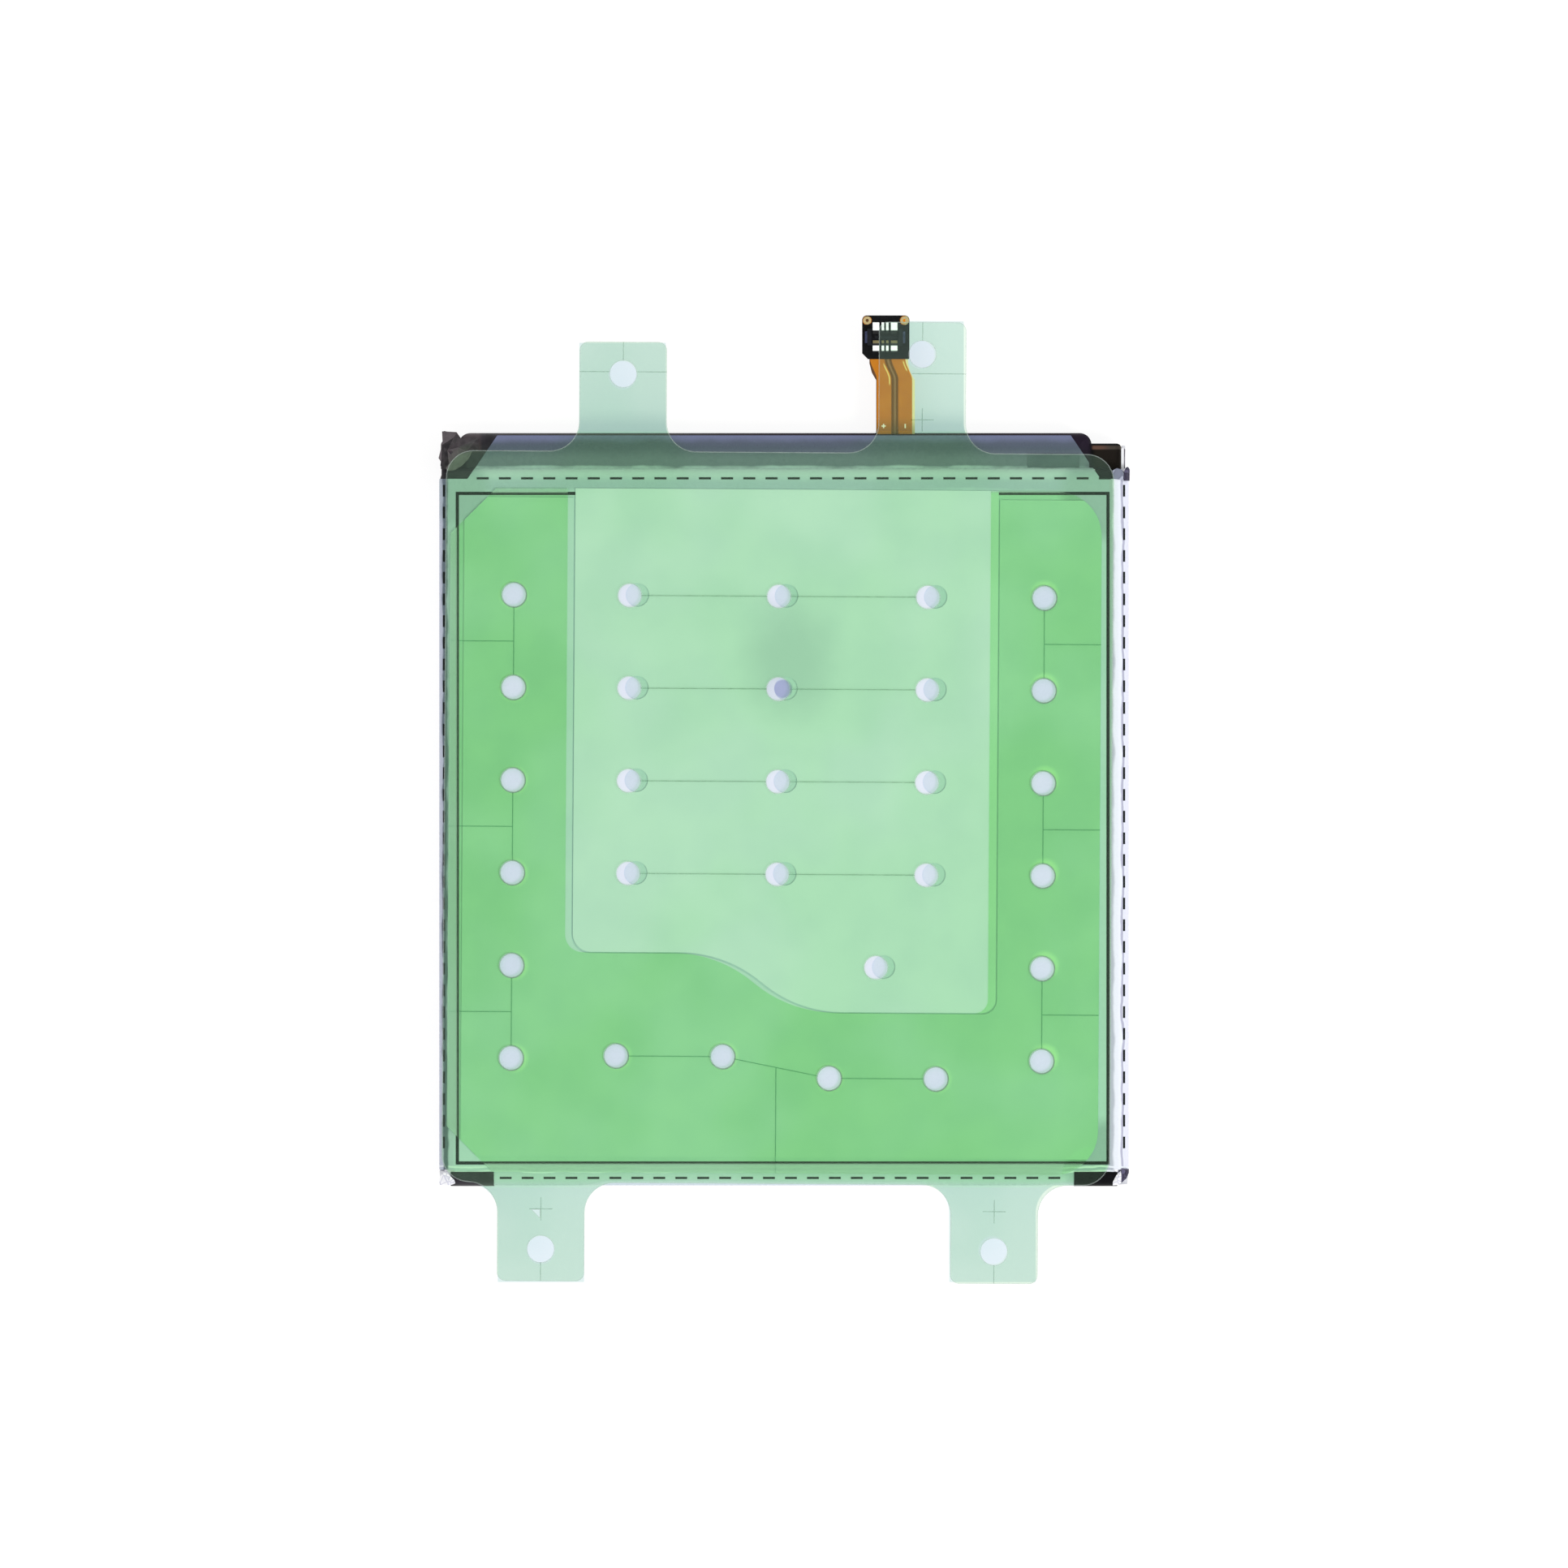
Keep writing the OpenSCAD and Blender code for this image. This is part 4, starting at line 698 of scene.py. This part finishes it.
# %% [markdown]
# Two sheets that touch share one plane, and a see-through face in the same plane as another
# confuses the renderer. The inner liner is therefore drawn again from its CAD mesh, with its
# loose triangles merged, and a fifth thinner about its own middle, so that a breath of air
# lies over and under it as it does on the real one.

# %% Inner liner
THINNER = 0.8
MERGE_MM = 0.002


def drawn_in(name, node_name, share, film):
    """Copies a CAD sheet, merges its corners, and scales each height about the middle height."""
    mesh = nodes[node_name].data.copy()
    mesh.name = name
    work = bmesh.new()
    work.from_mesh(mesh)
    bmesh.ops.remove_doubles(work, verts=work.verts, dist=MERGE_MM * MM)
    work.to_mesh(mesh)
    work.free()
    points = corners_of(mesh)
    heights = points[:, 2]
    middle = (heights.min() + heights.max()) / 2
    points[:, 2] = middle + (heights - middle) * share
    mesh.vertices.foreach_set("co", points.ravel())
    mesh.shade_flat()
    mesh.update()
    piece = new_piece(name, mesh, film)
    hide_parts(node_name)
    return piece


inner_sheet = drawn_in("inner_liner_sheet", "inner_liner", THINNER, inner_film)
print("inner liner", len(inner_sheet.data.polygons), "faces")

# %% [markdown]
# The fold marks are printed, and print sits where the roller happened to start. They are
# drawn again from their CAD mesh: the row at the shoulder slides to the right and the two
# columns slide up, to where the photo shows them. The row at the lower edge stays.

# %% Fold marks
ROW_STRETCH, ROW_SHIFT, ROW_UP = 1.0125, 1.19, 0.15
COLUMN_STRETCH, COLUMN_UP = 0.99, 1.2
COLUMNS_FROM_X, ROW_FROM_Y = 31.2, 30.5


def slid_marks(name, node_name):
    """The row: x times its stretch plus its shift. The columns: y times theirs plus theirs."""
    mesh = nodes[node_name].data.copy()
    mesh.name = name
    points = corners_of(mesh)
    x, y = points[:, 0] / MM, points[:, 1] / MM
    in_column = np.abs(x) > COLUMNS_FROM_X
    in_row = (y > ROW_FROM_Y) & ~in_column
    points[:, 0] = np.where(in_row, x * ROW_STRETCH + ROW_SHIFT, x) * MM
    column_y = np.where(in_column, y * COLUMN_STRETCH + COLUMN_UP, y)
    points[:, 1] = np.where(in_row, y + ROW_UP, column_y) * MM
    mesh.vertices.foreach_set("co", points.ravel())
    mesh.update()
    piece = new_piece(name, mesh, finishes[slot_of[node_name]])
    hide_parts(node_name)
    return piece


marks = slid_marks("printed_fold_marks", "fold_marks")
print("fold marks", len(marks.data.polygons), "faces")

# %% [markdown]
# A die cuts the outer liner, and a pale strip along its cut edge is a painted highlight, where the edge
# catches the light: it looks pale over dark things and grey over white. Each kiss cut is a groove half the
# film deep, and a thin dark line of painted shade lies in it. Both are taken from the CAD mesh. The outline
# of the sheet is every side of a bottom triangle that no other bottom triangle shares, and a strip is laid
# inside it. The grooves are the triangles that look up at half the sheet's height. The inner liner's cuts
# are part of its film's own finish, where the groove's deeper tint is painted shade, because each sheet
# added here is two more to see through.

# %% Cut edges and score lines
EDGE_W = 0.09
SKIN_MM = 0.004
LEVEL_WITHIN, UPRIGHT_FROM = 0.004, 0.99
MICROMETRES = 1e6


def merged(node_name):
    """Corners and triangles of a CAD mesh, with corners at the same micrometre made one."""
    mesh = nodes[node_name].data
    mesh.calc_loop_triangles()
    triangles = np.zeros(len(mesh.loop_triangles) * 3, dtype=int)
    mesh.loop_triangles.foreach_get("vertices", triangles)
    rounded = np.round(corners_of(mesh) * MICROMETRES)
    places, index = np.unique(rounded, axis=0, return_inverse=True)
    return places / MICROMETRES, index.ravel()[triangles].reshape(-1, 3)


def level_triangles(points, triangles, height, direction):
    """Triangles at one height whose normal, the cross product of two sides, points up or down."""
    corners = points[triangles]
    cross = np.cross(corners[:, 1] - corners[:, 0], corners[:, 2] - corners[:, 0])
    facing = cross[:, 2] * direction > UPRIGHT_FROM * np.linalg.norm(cross, axis=1)
    level = np.abs(corners[:, :, 2] - height).max(axis=1) < LEVEL_WITHIN * MM
    return triangles[facing & level]


def rim(points, triangles, width):
    """Strip inside the outline. A corner moves by twice the sum of its two inward directions
    over that sum's square, times the width, so both sides of the corner keep the width."""
    sides = np.concatenate([triangles[:, [0, 1]], triangles[:, [1, 2]], triangles[:, [2, 0]]])
    codes = sides[:, 0] * len(points) + sides[:, 1]
    backs = sides[:, 1] * len(points) + sides[:, 0]
    sides = sides[~np.isin(codes, backs)]
    along = points[sides[:, 1]] - points[sides[:, 0]]
    along /= np.linalg.norm(along, axis=1)[:, None]
    inward = np.stack([-along[:, 1], along[:, 0], np.zeros(len(along))], axis=1)
    total = np.zeros_like(points)
    np.add.at(total, sides[:, 0], inward)
    np.add.at(total, sides[:, 1], inward)
    square = np.maximum((total ** 2).sum(axis=1), 1.0)
    inner = points + total * (2 * width / square)[:, None]
    far = len(points)
    faces = np.stack([sides[:, 0], sides[:, 1], sides[:, 1] + far, sides[:, 0] + far], axis=1)
    return np.concatenate([points, inner]), faces


def thin_piece(name, points, faces, height, material):
    """Lays flat faces one skin above a height, as a closed skin of four thousandths of a millimetre."""
    used, index = np.unique(faces, return_inverse=True)
    corners = points[used]
    corners[:, 2] = height + SKIN_MM * MM
    mesh = bpy.data.meshes.new(name)
    mesh.from_pydata(corners.tolist(), [], index.reshape(faces.shape).tolist())
    piece = new_piece(name, mesh, material)
    close_sheet(piece, SKIN_MM, 1)
    return piece


def veil(name, colour, share):
    """A thin skin of one colour that hides a share of what is under it."""
    material, tree, place = begin(name)
    speckle = span(tree, clouds(tree, place, 0.8), *CLOUD_RANGE, share * 0.8, share * 1.2)
    cover = add(tree, "ShaderNodeBsdfPrincipled", {"Base Color": linear(colour), "Roughness": 0.5})
    clear = add(tree, "ShaderNodeBsdfTransparent")
    end(tree, add(tree, "ShaderNodeMixShader", {0: speckle, 1: clear.outputs[0], 2: cover.outputs[0]}))
    return material


points, triangles = merged("release_liner")
bottom, top = points[:, 2].min(), points[:, 2].max()
half_way = (bottom + top) / 2
outline = level_triangles(points, triangles, bottom, -1)[:, ::-1]
edge_points, edge_faces = rim(points, outline, EDGE_W * MM)
# A pale veil along the cut edge: a painted highlight.
edge_highlight_veil = veil("painted_cut_edge_highlight", "#c3cfcb", 0.17)
thin_piece("release_liner_cut_edge", edge_points, edge_faces, top, edge_highlight_veil)
grooves = level_triangles(points, triangles, half_way, 1)
# A dark veil in the grooves: painted shade.
groove_shade_veil = veil("painted_groove_shade", "#1f7038", 0.2)
thin_piece("release_liner_score_lines", points, grooves, half_way, groove_shade_veil)
print("edge faces", len(edge_faces), "groove faces", len(grooves))

# %% [markdown]
# At the corners the films are tucked in by hand. At both lower corners the bare laminate
# shows as a small pale petal, and at the right corners tips of film are folded over. Each of
# these is a sheet drawn as rings that shrink from its outline to its middle, with a height
# for every point, so one function makes them all. Creases are triangle waves: the height
# goes straight up and straight down, as in paper.

# %% Sheets in rings
FILM_MM = 0.04
INNERMOST_RING = 0.05


def ring_sheet(name, outline_mm, height_mm, material, rings=8, around=72):
    """A point is the middle plus r times the way from the middle to the outline, for r from one
    down to nearly nought, and its height is a function of x, y and r, all in millimetres."""
    corners = np.array(outline_mm, dtype=float)
    ahead = np.roll(corners, -1, axis=0)
    if (corners[:, 0] * ahead[:, 1] - corners[:, 1] * ahead[:, 0]).sum() < 0:
        corners = corners[::-1]
    closed = np.concatenate([corners, corners[:1]])
    reached = np.concatenate([[0], np.cumsum(np.linalg.norm(np.diff(closed, axis=0), axis=1))])
    steps = np.linspace(0, reached[-1], around, endpoint=False)
    edge = np.stack([np.interp(steps, reached, closed[:, k]) for k in (0, 1)], axis=1)
    middle = edge.mean(axis=0)
    r = np.linspace(1, INNERMOST_RING, rings)[:, None, None]
    flat = middle + r * (edge - middle)
    x, y = flat[..., 0], flat[..., 1]
    z = height_mm(x, y, np.broadcast_to(r[..., 0], x.shape))
    points = np.stack([x, y, z], axis=-1).reshape(-1, 3) * MM
    ring, turn = np.meshgrid(np.arange(rings - 1) * around, np.arange(around), indexing="ij")
    after = (turn + 1) % around
    quads = np.stack([ring + turn, ring + after, ring + around + after, ring + around + turn], axis=-1)
    faces = quads.reshape(-1, 4).tolist() + [list(range((rings - 1) * around, rings * around))]
    mesh = bpy.data.meshes.new(name)
    mesh.from_pydata(points.tolist(), [], faces)
    piece = new_piece(name, mesh, material)
    close_sheet(piece, FILM_MM, -1)
    return piece


def crease(x, y, slope, length_mm, depth_mm):
    """Triangle wave along a direction: the depth times one less four times the way to the nearest
    fold, with that way counted in lengths of the wave."""
    along = (x + slope * y) / math.hypot(1, slope) / length_mm
    return depth_mm * (1 - 4 * np.abs(along - np.round(along)))


print("sheet and crease functions ready")

# %% [markdown]
# Crumpled film has flat facets with sharp creases between them. The small pieces get theirs from a Voronoi
# pattern: one grey for each cell, as painted shade of the facets, and a dark line of painted shade where two
# cells meet. The ear of black tape at the top left is large enough to be built facet by facet, and its
# finish reads each facet's own painted shade.

# %% Crumpled finishes
CREASE_W = 0.12
LIP_GREY_X = (32.2, 32.26)


def crumpled(name, dark, light, crease_shade_colour, facet_mm, roughness):
    """Cells of one grey each, from the cell's own random value, as painted facet shade, with painted shade
    in the creases between the cells.
    """
    material, tree, place = begin(name)
    scale = 1 / (facet_mm * MM)
    facets = add(tree, "ShaderNodeTexVoronoi", {"Vector": place, "Scale": scale})
    edges = add(tree, "ShaderNodeTexVoronoi", {"Vector": place, "Scale": scale}, feature="DISTANCE_TO_EDGE")
    # Each cell's grey is painted facet shade.
    grey = axis(tree, facets.outputs["Color"], "X")
    # Painted shade in the creases.
    line = span(tree, edges.outputs["Distance"], 0.0, CREASE_W, 0.7, 0.0)
    colour = blend(tree, line, blend(tree, grey, dark, light), crease_shade_colour)
    coat(tree, {"Base Color": colour, "Roughness": roughness, "Specular IOR Level": 0.3,
                "Normal": bump(tree, grey, 0.04, 0.5)})
    return material


crumpled_tape, tree, place = begin("crumpled_acetate_film_tape")
painted_shade = add(tree, "ShaderNodeAttribute", attribute_name="painted_shade").outputs["Fac"]
wear_and_shade = math_node(tree, "ADD", painted_shade, span(tree, clouds(tree, place, 0.5), *CLOUD_RANGE, -0.09, 0.09))
# The colour follows each facet's painted shade.
coat(tree, {"Base Color": blend(tree, wear_and_shade, "#1a161b", "#6e666a"), "Roughness": 0.5,
            "Specular IOR Level": 0.25, "Normal": bump(tree, clouds(tree, place, 0.35), 0.02, 0.4)})

pale_laminate = crumpled("creased_laminate_nylon_face", "#f4f4fb", "#ffffff", "#b9bad0", 0.55, 0.4)
violet_fold = crumpled("folded_black_film_edge", "#2c2740", "#5e5a78", "#15121f", 0.5, 0.4)
grey_fold = crumpled("milky_film_fold", "#7f8598", "#b4b9cc", "#6d7285", 0.9, 0.35)

lip_film, tree, place = begin("clear_film_lip_polypropylene")
grey_side = ramp(tree, axis(tree, place, "X"), *LIP_GREY_X)
coat(tree, {"Base Color": blend(tree, grey_side, "#f6f6fa", "#5c5762"), "Roughness": 0.35,
            "Normal": bump(tree, clouds(tree, place, 0.4), 0.01)})
print("crumpled finishes", crumpled_tape.name, pale_laminate.name, violet_fold.name, grey_fold.name)

# %% [markdown]
# The ear is the loose end of the black tape. It rises from the band towards its tip, and as crumpled film
# is, it is made of flat facets between shared corners. Each corner has a name, a place counted in
# millimetres from the middle of the battery, and a lift of its own. Each facet has a painted shade, dark at
# nought and light at one, and the names of its corners.

# %% Crumpled ear
EAR_BASE, EAR_RISE, EAR_FOOT_X, EAR_RUN = 4.06, 0.5, -30.0, 1.4
CORNERS = {"tip": (-32.24, 35.85, 0.2), "tip_right": (-31.06, 35.63, 0.1),
           "notch": (-30.73, 35.15, 0.0), "ridge": (-31.32, 35.2, 0.25),
           "left_fold": (-32.43, 34.52, 0.1), "left_out": (-32.75, 33.27, 0.0),
           "left_low": (-32.5, 32.9, 0.0), "root": (-32.32, 32.2, 0.0),
           "valley": (-31.91, 34.0, -0.02), "lens_low": (-32.06, 32.31, 0.0),
           "lens_a": (-31.76, 32.75, 0.02), "lens_b": (-30.95, 33.49, 0.05),
           "lens_c": (-30.07, 33.93, 0.03), "lens_tip": (-29.55, 33.93, 0.0),
           "lens_d": (-29.92, 33.19, 0.0), "lens_e": (-30.52, 32.57, 0.0),
           "lens_f": (-31.25, 32.12, 0.0), "lens_g": (-31.91, 32.05, 0.0),
           "bulge": (-30.9, 34.3, 0.16), "low_right": (-28.97, 34.15, 0.0),
           "top_right": (-28.97, 35.25, 0.0)}
FACETS = [(0.62, "tip left_fold ridge tip_right"),
          (0.05, "left_fold valley ridge"),
          (0.28, "ridge valley notch"),
          (0.2, "ridge notch tip_right"),
          (0.9, "left_fold left_out left_low"),
          (0.08, "left_fold left_low root lens_low lens_a valley"),
          (0.62, "valley lens_a lens_b bulge"),
          (0.5, "lens_b lens_c bulge"),
          (0.34, "valley bulge notch"),
          (0.3, "bulge top_right notch"),
          (0.2, "bulge lens_c lens_tip low_right top_right"),
          (0.78, "lens_low lens_g lens_f lens_e lens_d lens_tip lens_c lens_b lens_a")]


def facet_sheet(name, corners, facets, material):
    """A corner's height is the base, plus the rise times its way left of the foot over the run, kept from
    nought to one, plus its own lift. Each facet keeps its painted shade in a face attribute."""
    names = list(corners)
    points = np.array([corners[n] for n in names], dtype=float)
    points[:, 2] += EAR_BASE + EAR_RISE * np.clip((EAR_FOOT_X - points[:, 0]) / EAR_RUN, 0, 1)
    faces = [[names.index(n) for n in words.split()] for value, words in facets]
    mesh = bpy.data.meshes.new(name)
    mesh.from_pydata((points * MM).tolist(), [], faces)
    painted_shades = mesh.attributes.new("painted_shade", "FLOAT", "FACE")
    painted_shades.data.foreach_set("value", [value for value, words in facets])
    piece = new_piece(name, mesh, material)
    close_sheet(piece, FILM_MM, -1)
    return piece


ear = facet_sheet("crumpled_tape_ear", CORNERS, FACETS, crumpled_tape)
print("ear facets", len(ear.data.polygons))

# %% [markdown]
# The petals, folds and lip follow the photo's outlines, again in millimetres from the middle
# of the battery. A petal is a low dome with creases across it. A folded edge is flat up to
# the right wall and then drops in a curve. The fold at the shoulder is a very low dome, and
# the lip of clear film stands level on the band.

# %% Petals, folds and lip
PETAL_Z, PETAL_DOME = 4.96, 0.08
CREASE_SLOPE, CREASE_LENGTH, CREASE_DEPTH = 0.6, 0.6, 0.03
EDGE_Z, EDGE_DROP, EDGE_DROP_X, EDGE_DROP_RUN = 4.98, 0.5, 32.2, 0.5
SHOULDER_FOLD_Z, SHOULDER_FOLD_DOME = 4.96, 0.02
LIP_Z = 4.2
PETAL_LEFT = [(-32.2, -34.47), (-32.62, -34.77), (-32.7, -35.23), (-32.62, -35.62), (-32.2, -35.7),
              (-31.92, -35.66), (-31.5, -35.6), (-31.15, -35.48), (-31.22, -35.18), (-31.57, -34.82),
              (-31.86, -34.53)]
PETAL_RIGHT = [(31.92, -34.29), (31.52, -34.65), (31.16, -35.35), (31.16, -35.66), (31.57, -35.64),
               (31.98, -35.42), (31.95, -34.77)]
FOLD_LOW_RIGHT = [(31.98, -34.1), (32.7, -34.1), (32.7, -34.47), (32.46, -35.0), (31.98, -35.42)]
FOLD_TOP_RIGHT = [(32.18, 31.12), (32.76, 31.12), (32.78, 32.2), (32.62, 32.45),
                  (32.42, 32.38), (32.2, 31.9)]
LIP_TOP_RIGHT = [(31.98, 32.35), (32.34, 32.3), (32.3, 33.2), (32.36, 34.1), (32.2, 34.25), (31.98, 34.2)]
SHOULDER_FILM = [(31.12, 32.08), (31.54, 32.31), (32.04, 32.19), (32.2, 31.85), (32.14, 31.19),
                 (31.2, 31.31)]


def petal_height(x, y, r):
    """The dome falls with the square of r, and the crease wave is added to it."""
    return PETAL_Z + PETAL_DOME * (1 - r ** 2) + crease(x, y, CREASE_SLOPE, CREASE_LENGTH, CREASE_DEPTH)


def edge_height(x, y, r):
    """Level, less the drop times the square of the way past the wall over the run."""
    return EDGE_Z - EDGE_DROP * np.clip((x - EDGE_DROP_X) / EDGE_DROP_RUN, 0, 1) ** 2


def shoulder_height(x, y, r):
    """A dome that falls with the square of r."""
    return SHOULDER_FOLD_Z + SHOULDER_FOLD_DOME * (1 - r ** 2)


def lip_height(x, y, r):
    """One level for every point."""
    return np.full_like(x, LIP_Z)


crumples = [
    ring_sheet("laminate_petal_left", PETAL_LEFT, petal_height, pale_laminate),
    ring_sheet("laminate_petal_right", PETAL_RIGHT, petal_height, pale_laminate),
    ring_sheet("clear_film_lip", LIP_TOP_RIGHT, lip_height, lip_film),
    ring_sheet("folded_edge_low_right", FOLD_LOW_RIGHT, edge_height, violet_fold),
    ring_sheet("folded_edge_top_right", FOLD_TOP_RIGHT, edge_height, violet_fold),
    ring_sheet("shoulder_film_fold", SHOULDER_FILM, shoulder_height, grey_fold),
]
print("petals, folds and lip", len(crumples))
